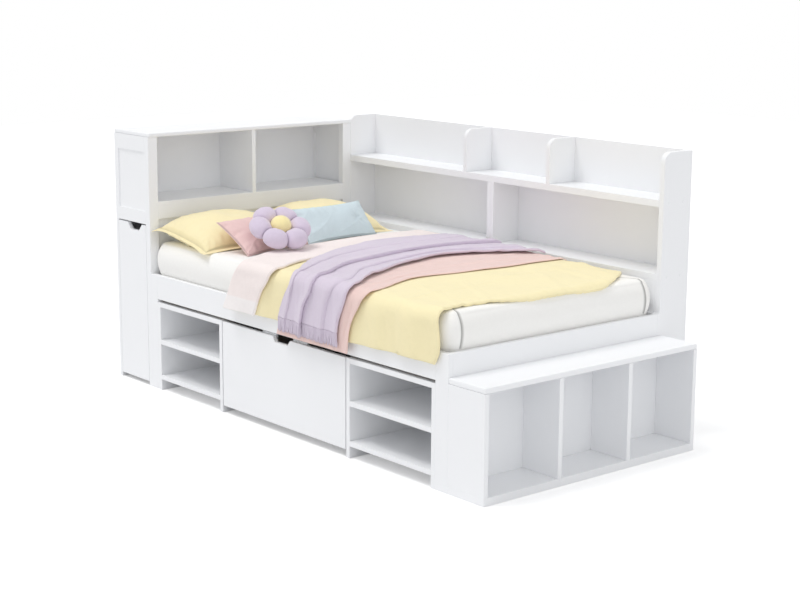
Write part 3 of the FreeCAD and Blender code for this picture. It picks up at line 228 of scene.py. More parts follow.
def weave_group():
    """Plain weave on a map in metres: each thread is a sine across itself, whichever lies higher shows, and a
    slow noise thickens some threads. The gaps between threads are darker with painted shade, and the threads'
    tops lighter with a painted highlight."""
    def build(tree, at):
        axes = put(tree, "SeparateXYZ", {0: at["Map"]}).outputs
        turns = times(tree, at["Threads"], HALF_TURN)
        warp, weft = (humps(tree, times(tree, axis, turns)) for axis in axes[:2])
        slub = noise(tree, at["Map"], calc(tree, "DIVIDE", at["Threads"], 14.0), 3.0)
        height = plus(tree, calc(tree, "MAXIMUM", warp, weft), times(tree, slub, 0.8))
        return [shade_and_highlight_by_height(tree, at, height, 1.2), height]
    return shared("Woven cloth", [("Map", "Vector"), COLOUR, ("Threads", "Float"), CONTRAST], CLOTH, build)


def knit_group():
    """Knit on a map in metres: columns of stitches are sines across, each stitch is a sine along that leans
    left and right by turns with the column."""
    def build(tree, at):
        axes = put(tree, "SeparateXYZ", {0: at["Map"]}).outputs
        turns = times(tree, at["Columns"], HALF_TURN)
        across = times(tree, axes[0], turns)
        column = humps(tree, across)
        lean = times(tree, calc(tree, "COSINE", across), calc(tree, "SINE", across))
        along = plus(tree, times(tree, axes[1], turns), times(tree, lean, 1.6))
        stitch = humps(tree, along)
        fuzz = noise(tree, at["Map"], times(tree, at["Columns"], 1.7), 3.0)
        height = plus(tree, times(tree, column, 0.7),
                      plus(tree, times(tree, stitch, 0.3), times(tree, fuzz, 0.5)))
        # painted shade in the hollows between columns and stitches, painted highlight on their tops
        return [shade_and_highlight_by_height(tree, at, height, 0.9), height]
    return shared("Knit", [("Map", "Vector"), COLOUR, ("Columns", "Float"), CONTRAST], CLOTH, build)


def pile_group():
    """Short plush pile: a fine noise for the tufts and a coarser one for how they lie. Lower tufts get
    painted shade and higher ones a painted highlight.
    """
    def build(tree, at):
        tufts = noise(tree, at["Vector"], at["Scale"], 4.0, 0.65)
        lie = noise(tree, at["Vector"], calc(tree, "DIVIDE", at["Scale"], 14.0), 2.0)
        height = plus(tree, tufts, times(tree, lie, 0.6))
        return [shaded(tree, at, ramp(tree, height, 0.16, 0.88)), height]
    return shared("Plush pile", [VECTOR, COLOUR, ("Scale", "Float")], CLOTH, build)


def seam_shade_group():
    """A sewn line: where the Line mask is high the cloth is drawn in and darker, with painted shade in the
    seam.
    """
    def build(tree, at):
        shade = calc(tree, "SUBTRACT", 1.0, times(tree, at["Line"], at["Seam_shade"]))
        return [shaded(tree, at, shade), plus(tree, at["Height"], times(tree, at["Line"], -1.5))]
    return shared("Seam with painted shade", [("Line", "Float"), COLOUR, HEIGHT, ("Seam_shade", "Float")], CLOTH, build)


def film_group():
    """Sprayed paint: a slow change of tone, a fine orange-peel height and a little unevenness of gloss."""
    def build(tree, at):
        tone = noise(tree, at["Vector"], 2.5, 2.0)
        shade = ramp(tree, tone, 0.03, 0.985)
        peel = noise(tree, at["Vector"], at["Peel"], 2.0)
        brush = noise(tree, at["Vector"], 38.0, 3.0)
        gloss = ramp(tree, brush, 0.12, 0.34)
        return [shaded(tree, at, shade), peel, gloss]
    return shared("Paint film", [VECTOR, COLOUR, ("Peel", "Float")], [*CLOTH, ("Roughness", "Float")], build)


def grain_group():
    """Wood grain along the vector's first axis: noise drawn out about twelvefold that way, in streaks over
    broad bands."""
    def build(tree, at):
        drawn = put(tree, "Mapping", {"Vector": at["Vector"], "Scale": (1.2, 14.0, 14.0)}).outputs[0]
        bands = noise(tree, drawn, 2.2, 3.0)
        streaks = noise(tree, drawn, 22.0, 4.0, 0.6)
        value = plus(tree, times(tree, bands, 0.5), times(tree, streaks, 0.5))
        return [shaded(tree, at, ramp(tree, value, 0.42, 0.78)), value]
    return shared("Wood grain", [VECTOR, COLOUR], CLOTH, build)


def blank(name, **shader_values):
    """A material with a Principled shader: the material, its tree, its shader and its object coordinates."""
    made = bpy.data.materials.new(name)
    made.use_nodes = True
    tree = made.node_tree
    shader = tree.nodes["Principled BSDF"]
    for socket, value in shader_values.items():
        shader.inputs[socket.replace("_", " ")].default_value = value
    return made, tree, shader, put(tree, "TexCoord").outputs["Object"]


def finish_with(tree, shader, colour, height, strength, depth):
    """Sends a colour and a bump of that depth to a shader."""
    tree.links.new(colour, shader.inputs["Base Color"])
    bump = put(tree, "Bump", {"Strength": strength, "Distance": depth, "Height": height})
    tree.links.new(bump.outputs[0], shader.inputs["Normal"])


def solid_colour(values):
    """A colour setting with its alpha."""
    return (*values, 1.0)


def mottled(tree, place, colour, scale, amount):
    """A colour whose tone changes softly from place to place."""
    sockets = {"Vector": place, "Colour": colour, "Scale": scale, "Amount": amount}
    return use(tree, mottle_group(), sockets)["Colour"]


def with_seam_shade(tree, cloth, seam_shade):
    """A cloth with its sewn lines, which are where the attribute 'sewn' is high, darkened with painted shade.
    """
    line = put(tree, "Attribute", attribute_name="sewn").outputs["Fac"]
    sockets = {"Line": line, "Colour": cloth["Colour"], "Height": cloth["Height"], "Seam_shade": seam_shade}
    return use(tree, seam_shade_group(), sockets)


def paint_material(name, colour):
    """Satin white paint on boards."""
    made, tree, shader, place = blank(name, Coat_Weight=0.12, Coat_Roughness=0.3)
    out = use(tree, film_group(), {"Vector": place, "Colour": solid_colour(colour), "Peel": 420.0})
    finish_with(tree, shader, out["Colour"], out["Height"], 0.12, 0.0002)
    tree.links.new(out["Roughness"], shader.inputs["Roughness"])
    return made


def pine_material(name, colour, turn):
    """Planed bare pine; turn brings the board's length to the grain's axis."""
    made, tree, shader, place = blank(name, Roughness=0.62)
    turned = put(tree, "Mapping", {"Vector": place, "Rotation": turn}).outputs[0]
    out = use(tree, grain_group(), {"Vector": turned, "Colour": solid_colour(colour)})
    finish_with(tree, shader, out["Colour"], out["Height"], 0.25, 0.0004)
    return made


def moulded_material(name, colour, roughness):
    """Moulded plastic with a fine eroded skin."""
    made, tree, shader, place = blank(name, Roughness=roughness)
    tone = mottled(tree, place, solid_colour(colour), 60.0, 0.05)
    finish_with(tree, shader, tone, noise(tree, place, 1400.0), 0.2, 0.0001)
    return made


def steel_material(name, colour):
    """Zinc-plated steel, rolled lengthwise."""
    made, tree, shader, place = blank(name, Metallic=1.0, Roughness=0.38)
    drawn = put(tree, "Mapping", {"Vector": place, "Scale": (3.0, 60.0, 60.0)}).outputs[0]
    streaks = noise(tree, drawn, 30.0, 3.0)
    tone = mottled(tree, place, solid_colour(colour), 45.0, 0.12)
    finish_with(tree, shader, tone, streaks, 0.15, 0.0001)
    return made


def cloth_material(name, colour, threads, contrast, sheen=0.2, tone=0.03, knit=False, seam_shade=0.35, second=None):
    """Woven or knitted cloth on the piece's own map, with painted shade along its sewn lines from the
    attribute
    'sewn'. second is a colour that shows where the attribute 'band' is high."""
    made, tree, shader, place = blank(name, Roughness=0.9, Sheen_Weight=sheen, Sheen_Roughness=0.5,
                                      Specular_IOR_Level=0.25)
    map_out = put(tree, "UVMap", uv_map="Flat").outputs[0]
    start = solid_colour(colour)
    if second is not None:
        band = put(tree, "Attribute", attribute_name="band").outputs["Fac"]
        start = mixed(tree, band, start, solid_colour(second))
    toned = mottled(tree, place, start, 9.0, tone)
    kind, count = (knit_group(), "Columns") if knit else (weave_group(), "Threads")
    # contrast sets the painted shade between threads and the painted highlight on them
    woven = use(tree, kind, {"Map": map_out, "Colour": toned, count: threads, "Contrast": contrast})
    out = with_seam_shade(tree, woven, seam_shade)
    finish_with(tree, shader, out["Colour"], out["Height"], 0.35, 0.5 / threads)
    return made


def plush_material(name, colour):
    """Short-pile plush."""
    made, tree, shader, place = blank(name, Roughness=0.95, Sheen_Weight=0.6, Sheen_Roughness=0.4,
                                      Specular_IOR_Level=0.15)
    piled = use(tree, pile_group(), {"Vector": place, "Colour": solid_colour(colour), "Scale": 900.0})
    # 0.3 of painted shade along the sewn lines and creases
    out = with_seam_shade(tree, piled, 0.3)
    finish_with(tree, shader, out["Colour"], out["Height"], 0.5, 0.0008)
    return made


# ---------------------------------------------------------------- surfaces

def ease(value, start, end):
    """0 before start, 1 after end and a smooth cubic step between them."""
    share = np.clip((value - start) / (end - start), 0, 1)
    return share * share * (3 - 2 * share)


def bell(value, middle, width):
    """1 at the middle and falling off on both sides, as exp(-((value - middle) / width)^2)."""
    return np.exp(-((value - middle) / width) ** 2)


def waves(x, y, seed, length, count=14, heading=0.0, fan=HALF_TURN):
    """A soft uneven field of about -1 to 1: sine waves added up, their headings, lengths and phases drawn."""
    draw = np.random.default_rng(seed)
    angles = heading + draw.uniform(-fan / 2, fan / 2, count)
    lengths = length * draw.uniform(0.6, 1.7, count)
    phases = draw.uniform(0, FULL_TURN, count)
    along = x[..., None] * np.cos(angles) + y[..., None] * np.sin(angles)
    return np.sin(FULL_TURN * along / lengths + phases).sum(-1) / math.sqrt(count)


def creases(x, y, seed, length, heading=0.0, fan=0.9):
    """Narrow ridges, 0 to 1, where a soft field passes through nothing."""
    return bell(waves(x, y, seed, length, 10, heading, fan), 0, 0.16)


def through(share, table):
    """A smooth line through (share, value) pairs: cubics whose slope at a pair is that between its
    neighbours."""
    xs, ys = np.array(table, float).T
    slopes = np.gradient(ys, xs)
    k = np.clip(np.searchsorted(xs, share, side="right") - 1, 0, len(xs) - 2)
    width = xs[k + 1] - xs[k]
    t = np.clip((share - xs[k]) / width, 0, 1)
    return ((2 * t**3 - 3 * t**2 + 1) * ys[k] + (t**3 - 2 * t**2 + t) * width * slopes[k]
            + (3 * t**2 - 2 * t**3) * ys[k + 1] + (t**3 - t**2) * width * slopes[k + 1])


def grid(*axes):
    """The places of a grid whose first index runs along the first axis."""
    return np.meshgrid(*axes, indexing="ij")


def spaced(length, step, rim, count=7):
    """Places along a length: every step, and closer within rim of its ends, as the cosine of even angles."""
    near = rim * (1 - np.cos(np.linspace(0, QUARTER_TURN, count)))
    middle = np.linspace(rim, length - rim, max(3, round((length - 2 * rim) / step)))[1:-1]
    return np.concatenate([near, middle, length - near[::-1]])


def rounded(distance, rim):
    """0 at an edge and 1 from rim inwards, along a quarter circle."""
    share = np.clip(distance / rim, 0, 1)
    return np.sqrt(1 - (1 - share) ** 2)


def linked(name, data):
    """An object of its own in the scene."""
    item = bpy.data.objects.new(name, data)
    bpy.context.scene.collection.objects.link(item)
    return item


def meshed(name, points, quads, maps, material, marks, weld):
    """A smooth piece from points in bed measures, four-sided faces, the faces' maps and named values. weld
    joins the points that lie on each other."""
    mesh = bpy.data.meshes.new(name)
    mesh.from_pydata((points.reshape(-1, 3) + CORNER).tolist(), [], quads.reshape(-1, 4).tolist())
    mesh.uv_layers.new(name="Flat").data.foreach_set("uv", maps.astype(np.float32).ravel())
    for label, values in marks.items():
        mark = mesh.attributes.new(label, "FLOAT", "POINT")
        mark.data.foreach_set("value", values.astype(np.float32).ravel())
    if weld:
        shell = bmesh.new()
        shell.from_mesh(mesh)
        bmesh.ops.remove_doubles(shell, verts=shell.verts, dist=WELD_GAP)
        shell.to_mesh(mesh)
        shell.free()
    mesh.shade_smooth()
    mesh.materials.append(material)
    return linked(name, mesh)


def both_sides(upper, lower=None):
    """The upper side's columns and then the lower side's backwards, without the two that the sides share."""
    return np.concatenate([upper, (upper if lower is None else lower)[:, -2:0:-1]], 1)


def both_maps(flat):
    """The map of both sides, with one column more."""
    return np.concatenate([flat, flat[:, -2::-1]], 1)


def skin(name, points, material, flat, marks=None, around=False, tubed=False, weld=False, flip=False):
    """A piece from a grid of points in bed measures: each four neighbours make a face. around joins the last
    column to the first and tubed the last row to the first. flat is the grid's map in metres, one column or
    row more where the grid is joined. marks are named values for the material. flip turns the faces over."""
    rows, columns = points.shape[:2]
    i, j = grid(np.arange(rows if tubed else rows - 1), np.arange(columns if around else columns - 1))
    corners = [(i, j), (i + 1, j), (i + 1, j + 1), (i, j + 1)]
    if flip:
        corners.reverse()
    quads = np.stack([(a % rows) * columns + b % columns for a, b in corners], -1)
    maps = np.stack([flat[a, b] for a, b in corners], -2)
    plain = np.zeros((rows, columns))
    return meshed(name, points, quads, maps, material, {"sewn": plain, "band": plain, **(marks or {})}, weld)


def slab(name, middle, over, under, material, flat, marks=None):
    """A cloth with thickness: the middle surface moved out by over and in by under along its own normal. Both
    fall to nothing at the cloth's edges, so its two sides meet there in a round rim and close it."""
    normal = np.cross(np.gradient(middle, axis=0), np.gradient(middle, axis=1))
    normal /= np.linalg.norm(normal, axis=2, keepdims=True)
    outer, inner = middle + normal * over[..., None], middle - normal * under[..., None]
    doubled = {label: both_sides(values) for label, values in (marks or {}).items()}
    return skin(name, both_sides(outer, inner), material, both_maps(flat), doubled, around=True, weld=True)


def give(piece, slot, *nodes):
    """A finished piece rides on the bed and stands for its CAD nodes. slot is not used."""
    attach(piece, "root")
    if nodes:
        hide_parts(*nodes)
    return piece


def stuffed_piece(name, points, material, flat, sewn, slot, node, **joins):
    """A stuffed piece that stands for a CAD node."""
    return give(skin(name, points, material, flat, {"sewn": sewn}, around=True, **joins), slot, node)


# ---------------------------------------------------------------- boards and fittings

NODES_BY_FINISH = {
    "pine_x": ("slat_ledgers", "centre_beam"),
    "pine_y": ("slats",),
    "pine_z": ("beam_legs",),
    "steel": ("corner_plates",),
    "wheel": ("drawer_front_wheels", "drawer_rear_wheels", "pullout_front_wheels", "pullout_rear_wheels"),
    "bracket": ("drawer_wheel_brackets", "pullout_wheel_brackets"),
    "cap": ("screw_caps",),
}
SOFT_NODES = ("mattress", "pillow_near", "pillow_far", "cushion_pink", "cushion_blue",
              "flower_cushion_petals", "flower_cushion_middle", "duvet", "throw_pink", "throw_lavender")


class BED_OT_paint_boards(bpy.types.Operator):
    """Gives every board and fitting of the frame its finish"""
    bl_idname = "bed.paint_boards"
    bl_label = "Paint the boards"

    def execute(self, context):
        colours = context.scene.bed_frame
        finishes = {
            "paint": paint_material("Painted wood", colours.paint),
            "pine_x": pine_material("Pine along x", colours.pine, (0, 0, 0)),
            "pine_y": pine_material("Pine along y", colours.pine, (0, 0, -QUARTER_TURN)),
            "pine_z": pine_material("Pine along z", colours.pine, (0, QUARTER_TURN, 0)),
            "steel": steel_material("Zinc-plated steel", colours.steel),
            "wheel": moulded_material("Wheel plastic", colours.wheel, 0.42),
            "bracket": moulded_material("Bracket plastic", colours.bracket, 0.5),
            "cap": moulded_material("Cap plastic", colours.paint, 0.4),
        }
        finish_of = {name: kind for kind, names in NODES_BY_FINISH.items() for name in names}
        for name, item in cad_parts.items():
            if name in SOFT_NODES:
                continue
            item.data.materials.clear()
            item.data.materials.append(finishes[finish_of.get(name, "paint")])
        return {"FINISHED"}


# ---------------------------------------------------------------- mattress

# height share above the rails, share of the swell, share of the shoulder
MATTRESS_SIDE = ((0, 0, 0), (0.25, 0.8, 0), (0.5, 1, 0), (0.72, 0.45, 0), (0.88, 0, 0.22), (0.97, 0, 0.62),
                 (1, 0, 1))
MATTRESS_SWELL, MATTRESS_SHOULDER, MATTRESS_UNDER, MATTRESS_CORNER = 0.011, 0.032, 0.010, 0.048
MATTRESS_TOP_RINGS, MATTRESS_BOTTOM_RINGS = (0.93, 0.82, 0.68, 0.52, 0.34, 0.16, 0.0), (0.0, 0.4, 0.8)
RING_STRAIGHT, RING_BEND = 70, 18  # points on each side and on each corner
RING_QUARTER = RING_STRAIGHT + RING_BEND
SHOULDER_FROM, SHOULDER_LONG = 0.84, 0.16  # shares of the side with even and with closer rings
SEAM_DEPTH = 0.0014  # how far the sewn lines at the corners draw in
SIDE_ROW = 12  # a ring on the mattress's side, along which lengths are measured


def ring(half_x, half_y, corner):
    """A rectangle with round corners as (x, y) points, the same number on each side and corner whatever its
    size. It starts where the foot side meets its wall corner and runs on round that corner."""
    turns = np.linspace(0, QUARTER_TURN, RING_BEND)
    pieces = []
    for quarter, (sx, sy) in enumerate(((1, 1), (-1, 1), (-1, -1), (1, -1))):
        middle = np.array([sx * (half_x - corner), sy * (half_y - corner)])
        angle = turns + quarter * QUARTER_TURN
        pieces.append(middle + corner * np.stack([np.cos(angle), np.sin(angle)], 1))
    whole = []
    for quarter in range(4):
        here, after = pieces[quarter], pieces[(quarter + 1) % 4]
        run = np.linspace(0, 1, RING_STRAIGHT + 2)[1:-1, None]
        whole += [here, here[-1] * (1 - run) + after[0] * run]
    return np.concatenate(whole)


def mattress_points(low, high, wrinkle):
    """Rings stacked from the underside up the side, over the shoulder and in to the middle of the top. The
    side swells out above the rails; waves draw it in a little there, and a sewn line runs up beside each
    corner."""
    half, centre = (high - low)[:2] / 2 - MATTRESS_SWELL, (high + low)[:2] / 2
    height, above = high[2] - low[2], span("near_side_rail")[1][2] - low[2]
    shares, swells, shoulders = np.array(MATTRESS_SIDE, float).T
    grows = swells * MATTRESS_SWELL - shoulders * MATTRESS_SHOULDER
    shoulder_steps = SHOULDER_FROM + SHOULDER_LONG * np.sin(np.linspace(0, QUARTER_TURN, 14))[1:]
    steps = np.concatenate([np.linspace(0, SHOULDER_FROM, 30), shoulder_steps])
    grow = through(steps, np.stack([shares, grows], 1))
    levels = [(0.0, -MATTRESS_UNDER), (0.004, -MATTRESS_UNDER / 2.5), (0.010, -0.001), (0.03, 0),
              (above * 0.7, 0)]
    levels += list(zip(above + steps * (height - above), grow))
    rings = [np.concatenate([ring(*(half + g), MATTRESS_CORNER + g), np.full((4 * RING_QUARTER, 1), z)], 1)
             for z, g in levels]
    points = np.stack([rings[0] * [share, share, 1] for share in MATTRESS_BOTTOM_RINGS] + rings
                      + [rings[-1] * [share, share, 1] for share in MATTRESS_TOP_RINGS])
    level = points[..., 2]
    side = ease(level, above + 0.01, above + 0.04) * (1 - ease(level, height - 0.02, height))
    row = points[SIDE_ROW]
    around = np.cumsum(np.linalg.norm(np.diff(row, axis=0, prepend=row[-1:]), axis=1))
    around = np.broadcast_to(around, points.shape[:2])
    pulls = waves(around, points[..., 2] * 3, 3, 0.34, heading=0.2, fan=1.2)
    towards = points[..., :2] / np.linalg.norm(points[..., :2], axis=2, keepdims=True).clip(1e-6)
    points[..., :2] -= towards * (side * (0.6 + pulls) * wrinkle * 0.6).clip(-0.001)[..., None]
    # sewn lines by the corners; the sheet draws them in and gives them painted shade
    sewn = np.zeros(points.shape[:2])
    for quarter in range(4):
        gap = np.abs(around - around[0, RING_QUARTER * quarter + quarter % 2 * (RING_BEND - 1)])
        sewn = np.maximum(sewn, bell(gap, 0, 0.0022) * ease(points[..., 2], above, above + 0.01))
        points[..., :2] -= towards * (SEAM_DEPTH * bell(gap, 0, 0.004) * side)[..., None]
    points[..., 2] += low[2]
    points[..., :2] += centre
    return points, around, sewn


class BED_OT_make_mattress(bpy.types.Operator):
    """Makes the mattress in its fitted sheet"""
    bl_idname = "bed.make_mattress"
    bl_label = "Make the mattress"

    def execute(self, context):
        soft = context.scene.bed_bedding
        points, around, sewn = mattress_points(*span("mattress"), soft.wrinkle)
        up = np.cumsum(np.linalg.norm(np.diff(points, axis=0, prepend=points[:1]), axis=2), axis=0)
        flat = np.stack([around, up], 2)
        flat = np.concatenate([flat, flat[:, :1] + [around[0, -1], 0]], 1)
        cloth = cloth_material("White sheet", soft.sheet, 900.0, 0.05, sheen=0.15, tone=0.012, seam_shade=0.6)
        piece = stuffed_piece("mattress_sheet", points, cloth, flat, sewn, "white_sheet", "mattress",
                              weld=True, flip=True)
        return {"FINISHED"}


# ---------------------------------------------------------------- pillows and cushions

def turned(lean, turn):
    """The rotation that raises the head side by lean and then turns about the upright, in degrees."""
    return np.array(Matrix.Rotation(math.radians(turn), 3, "Z") @ Matrix.Rotation(math.radians(lean), 3, "Y"))


COVER_POINTS = 97  # along each side of a cover
COVER_SQUARENESS, COVER_FULLNESS = 2.8, 0.52  # p and q in stuffed()
COVER_RIM = 0.0016  # half the thickness of a flange
PUCKER_LENGTH = 0.035
FLAT_SIDE = 0.02  # a side that rises less than this wrinkles less


def stuffed(size, crown, belly, pull, flange, wrinkle, seed):
    """A stuffed cover: a square of (a, b) from -1 to 1 whose sides draw in by pull between the corners. Each
    side rises as ((1 - |a|^p)(1 - |b|^p))^q, inside a flat flange. Puckers run in from the seam, and soft
    folds from the corners. Gives the grid, its map, the sewn line and how near each point is to a corner, 0
    to 1."""
    line = np.sin(np.linspace(-1, 1, COVER_POINTS) * QUARTER_TURN)
    a, b = grid(line, line)
    half = np.array(size) / 2
    x = a * (half[0] - pull * (1 - b * b))
    y = b * (half[1] - pull * (1 - a * a))
    inner = [np.clip(np.abs(c) / (1 - flange / h), 0, 1) for c, h in zip((a, b), half)]
    body = ((1 - inner[0] ** COVER_SQUARENESS) * (1 - inner[1] ** COVER_SQUARENESS)) ** COVER_FULLNESS
    to_ends, to_sides = half[0] * (1 - np.abs(a)), half[1] * (1 - np.abs(b))
    to_edge = np.minimum(to_ends, to_sides)
    rim = COVER_RIM * rounded(to_edge, 0.002)
    along = np.where(to_ends < to_sides, y, x)
    pucker = np.exp(-np.maximum(to_edge - flange, 0) / PUCKER_LENGTH) * ease(to_edge, flange, flange + 0.012)
    sides = []
    for number, (height, sign) in enumerate(((crown, 1), (belly, -1))):
        pull_in = waves(along, along * 0, seed + number, 0.034, 8) * pucker * 1.2
        folds = waves(x, y, seed + 7 + number, 0.15, 10) * body * 1.1
        lines = creases(x, y, seed + 3 + number, 0.20, 0.6) * np.sqrt(body) * (1 - body * 0.6) * 1.4
        bumps = (pull_in + folds + lines * 0.8) * wrinkle * (1 if height > FLAT_SIDE else 0.3)
        sides.append(np.stack([x, y, sign * (rim + height * body + bumps * (body > 0))], 2))
    # the sewn line inside the flange, drawn in and given painted shade by the cloth
    sewn = bell(to_edge, flange, 0.0018)
    return (both_sides(*sides), both_maps(np.stack([x, y], 2)), both_sides(sewn),
            both_sides(np.abs(a) * np.abs(b)))


PILLOW_MIDDLES = {"pillow_near": (0.4928, 0.262, 0.6877), "pillow_far": (0.4928, 0.780, 0.6877)}
PILLOW_LEAN = 9  # degrees
PILLOW_COVER = {"size": (0.415, 0.512), "crown": 0.090, "belly": 0.062, "pull": 0.014, "flange": 0.024}
PILLOW_DROOP = 0.024  # how far its corners hang
PILLOW_REST = 0.0008  # its place over the sheet
PILLOW_PRESS = 0.004  # height over that place under which the sheet presses it flat
BUTTON_DENT, BUTTON_REACH = 0.009, 0.016  # depth of the button's dent, and the length over which it fades
BUTTON_RAYS, RAY_HEIGHT = 7, 0.0015  # creases round the dent
CUSHION_COVER = {"crown": 0.039, "belly": 0.014, "pull": 0.009, "flange": 0.003}


class BED_OT_make_pillows(bpy.types.Operator):
    """Makes the two pillows that lie against the headboard"""
    bl_idname = "bed.make_pillows"
    bl_label = "Make the pillows"

    def execute(self, context):
        soft = context.scene.bed_bedding
        cloth = cloth_material("Yellow cotton", soft.pillow, 760.0, 0.06)
        floor = span("mattress")[1][2] + PILLOW_REST
        for (name, middle), seed in zip(PILLOW_MIDDLES.items(), (20, 51)):
            points, flat, sewn, corner = stuffed(**PILLOW_COVER, wrinkle=soft.wrinkle, seed=seed)
            points = points @ turned(PILLOW_LEAN, 0).T + middle
            height = points[..., 2] - corner ** 5 * PILLOW_DROOP
            pressed = floor + PILLOW_PRESS * np.exp((height - floor - PILLOW_PRESS) / PILLOW_PRESS)
            points[..., 2] = np.where(height < floor + PILLOW_PRESS, pressed, height)
            piece = stuffed_piece(name + "_cover", points, cloth, flat, sewn, "yellow_cotton", name,
                                  weld=True)
        return {"FINISHED"}


class BED_OT_make_cushions(bpy.types.Operator):
    """Makes the pink and the blue cushion that lean on the pillows"""
    bl_idname = "bed.make_cushions"
    bl_label = "Make the cushions"

    def execute(self, context):
        soft = context.scene.bed_bedding
        kinds = (
            ("pink", soft.pink, (0.217, 0.400), (0.7174, 0.298, 0.7144), 35, 13, 61, None),
            ("blue", soft.blue, (0.185, 0.418), (0.6884, 0.700, 0.7223), 50, 6, 94, (0.012, 0.105)),
        )
        for kind, colour, size, middle, lean, turn, seed, button in kinds:
            points, flat, sewn, _ = stuffed(size, **CUSHION_COVER, wrinkle=soft.wrinkle, seed=seed)
            if button:
                gap = np.hypot(points[..., 0] - button[0], points[..., 1] - button[1])
                around = np.arctan2(points[..., 1] - button[1], points[..., 0] - button[0])
                rays = RAY_HEIGHT * np.cos(BUTTON_RAYS * around) * bell(gap, 0.02, 0.014)
                dent = BUTTON_DENT * np.exp(-gap / BUTTON_REACH) + rays
                points[..., 2] -= np.where(points[..., 2] > 0.012, dent, 0)
            points = points @ turned(lean, turn).T + middle
            cloth = cloth_material(kind.title() + " cotton", colour, 700.0, 0.07)
            piece = stuffed_piece(f"cushion_{kind}_cover", points, cloth, flat, sewn, f"{kind}_cotton",
                                  f"cushion_{kind}", weld=True)
        return {"FINISHED"}


# ---------------------------------------------------------------- flower cushion

PETALS, PETAL_RING, PETAL_RADIUS, PETAL_CREASE, PETAL_FLATNESS = 6, 0.088, 0.0465, 0.017, 0.84
PETAL_ROWS, PETAL_COLUMNS, BUD_ROWS, BUD_COLUMNS = 360, 40, 49, 96
BUD_RADIUS, BUD_RISE, BUD_GAP = 0.044, 0.012, 0.0005
FLOWER_LEAN, FLOWER_TURN = 28, -8  # degrees
PETAL_TURN = -0.14
PETAL_MAP = (0.0015, 0.006)  # metres of map for each point round the flower and round the tube
PETAL_WAVE = 0.0006  # depth of the soft waves in the petals
BUD_MAP_TURN, BUD_MAP = 6.28, 0.04  # one turn on the middle's map, and its metres for each radian


def round_turn(count):
    """Even angles once round, the last one short of the first."""
    return np.arange(count) * FULL_TURN / count


def petal_points():
    """A tube round the flower whose radius swells to a petal and narrows to a crease between petals: with s
    from 0 at a petal's middle line to 1 at the crease its radius is least + (petal - least) sqrt(1 - s^2.6),
    drawn out a little away from the middle. Gives the points and the sewn creases, which get painted shade."""
    turn, tube = grid(round_turn(PETAL_ROWS), round_turn(PETAL_COLUMNS))
    step = FULL_TURN / PETALS
    side = np.abs(turn % step - step / 2) / (step / 2)
    swell = PETAL_CREASE + (PETAL_RADIUS - PETAL_CREASE) * np.sqrt(1 - side ** 2.6)
    reach = PETAL_RING * (1 - 0.06 * side ** 2) + swell * np.cos(tube)
    height = PETAL_FLATNESS * swell * np.sin(tube)
    around = turn + PETAL_TURN
    points = np.stack([reach * np.cos(around), reach * np.sin(around), height], 2)
    middle = np.array([0, 0, BUD_RISE])
    away = points - middle
    gap = np.linalg.norm(away, axis=2, keepdims=True)
    points = middle + away * np.maximum(1, (BUD_RADIUS + BUD_GAP) / gap)
    return points, bell(side, 1, 0.06) * 0.8


def bud_points():
    """A ball a little flattened on top, from its lower to its upper pole."""
    rise, turn = grid(np.linspace(-QUARTER_TURN, QUARTER_TURN, BUD_ROWS), round_turn(BUD_COLUMNS))
    radius = BUD_RADIUS * (1 - 0.05 * ease(np.sin(rise), 0.5, 1))
    points = np.stack([radius * np.cos(rise) * np.cos(turn), radius * np.cos(rise) * np.sin(turn),
                       radius * np.sin(rise) + BUD_RISE], 2)
    return points, rise, turn


class BED_OT_make_flower(bpy.types.Operator):
    """Makes the flower cushion: a ring of plush petals and its round middle"""
    bl_idname = "bed.make_flower"
    bl_label = "Make the flower cushion"

    def execute(self, context):
        soft = context.scene.bed_bedding
        low, high = span("flower_cushion_middle")
        rotation = turned(FLOWER_LEAN, FLOWER_TURN)
        middle = (low + high) / 2 - rotation @ [0, 0, BUD_RISE]
        points, sewn = petal_points()
        flat = np.stack(grid(np.arange(PETAL_ROWS + 1) * PETAL_MAP[0],
                             np.arange(PETAL_COLUMNS + 1) * PETAL_MAP[1]), 2)
        points[..., 2] += waves(points[..., 0], points[..., 1], 5, 0.05, 8) * PETAL_WAVE
        plush = plush_material("Lavender plush", soft.petals)
        petals = stuffed_piece("flower_petals", points @ rotation.T + middle, plush, flat, sewn,
                               "lavender_plush", "flower_cushion_petals", tubed=True)
        points, rise, turn = bud_points()
        flat = np.stack([turn, rise], 2)
        flat = np.concatenate([flat, flat[:, :1] + [BUD_MAP_TURN, 0]], 1) * BUD_MAP
        # a sewn ring a little under the middle's widest part, which gets painted shade
        sewn = bell(rise, -0.12, 0.06)
        plush = plush_material("Yellow plush", soft.bud)
        bud = stuffed_piece("flower_bud", points @ rotation.T + middle, plush, flat, sewn, "yellow_plush",
                            "flower_cushion_middle", weld=True, flip=True)
        return {"FINISHED"}


# ---------------------------------------------------------------- duvet

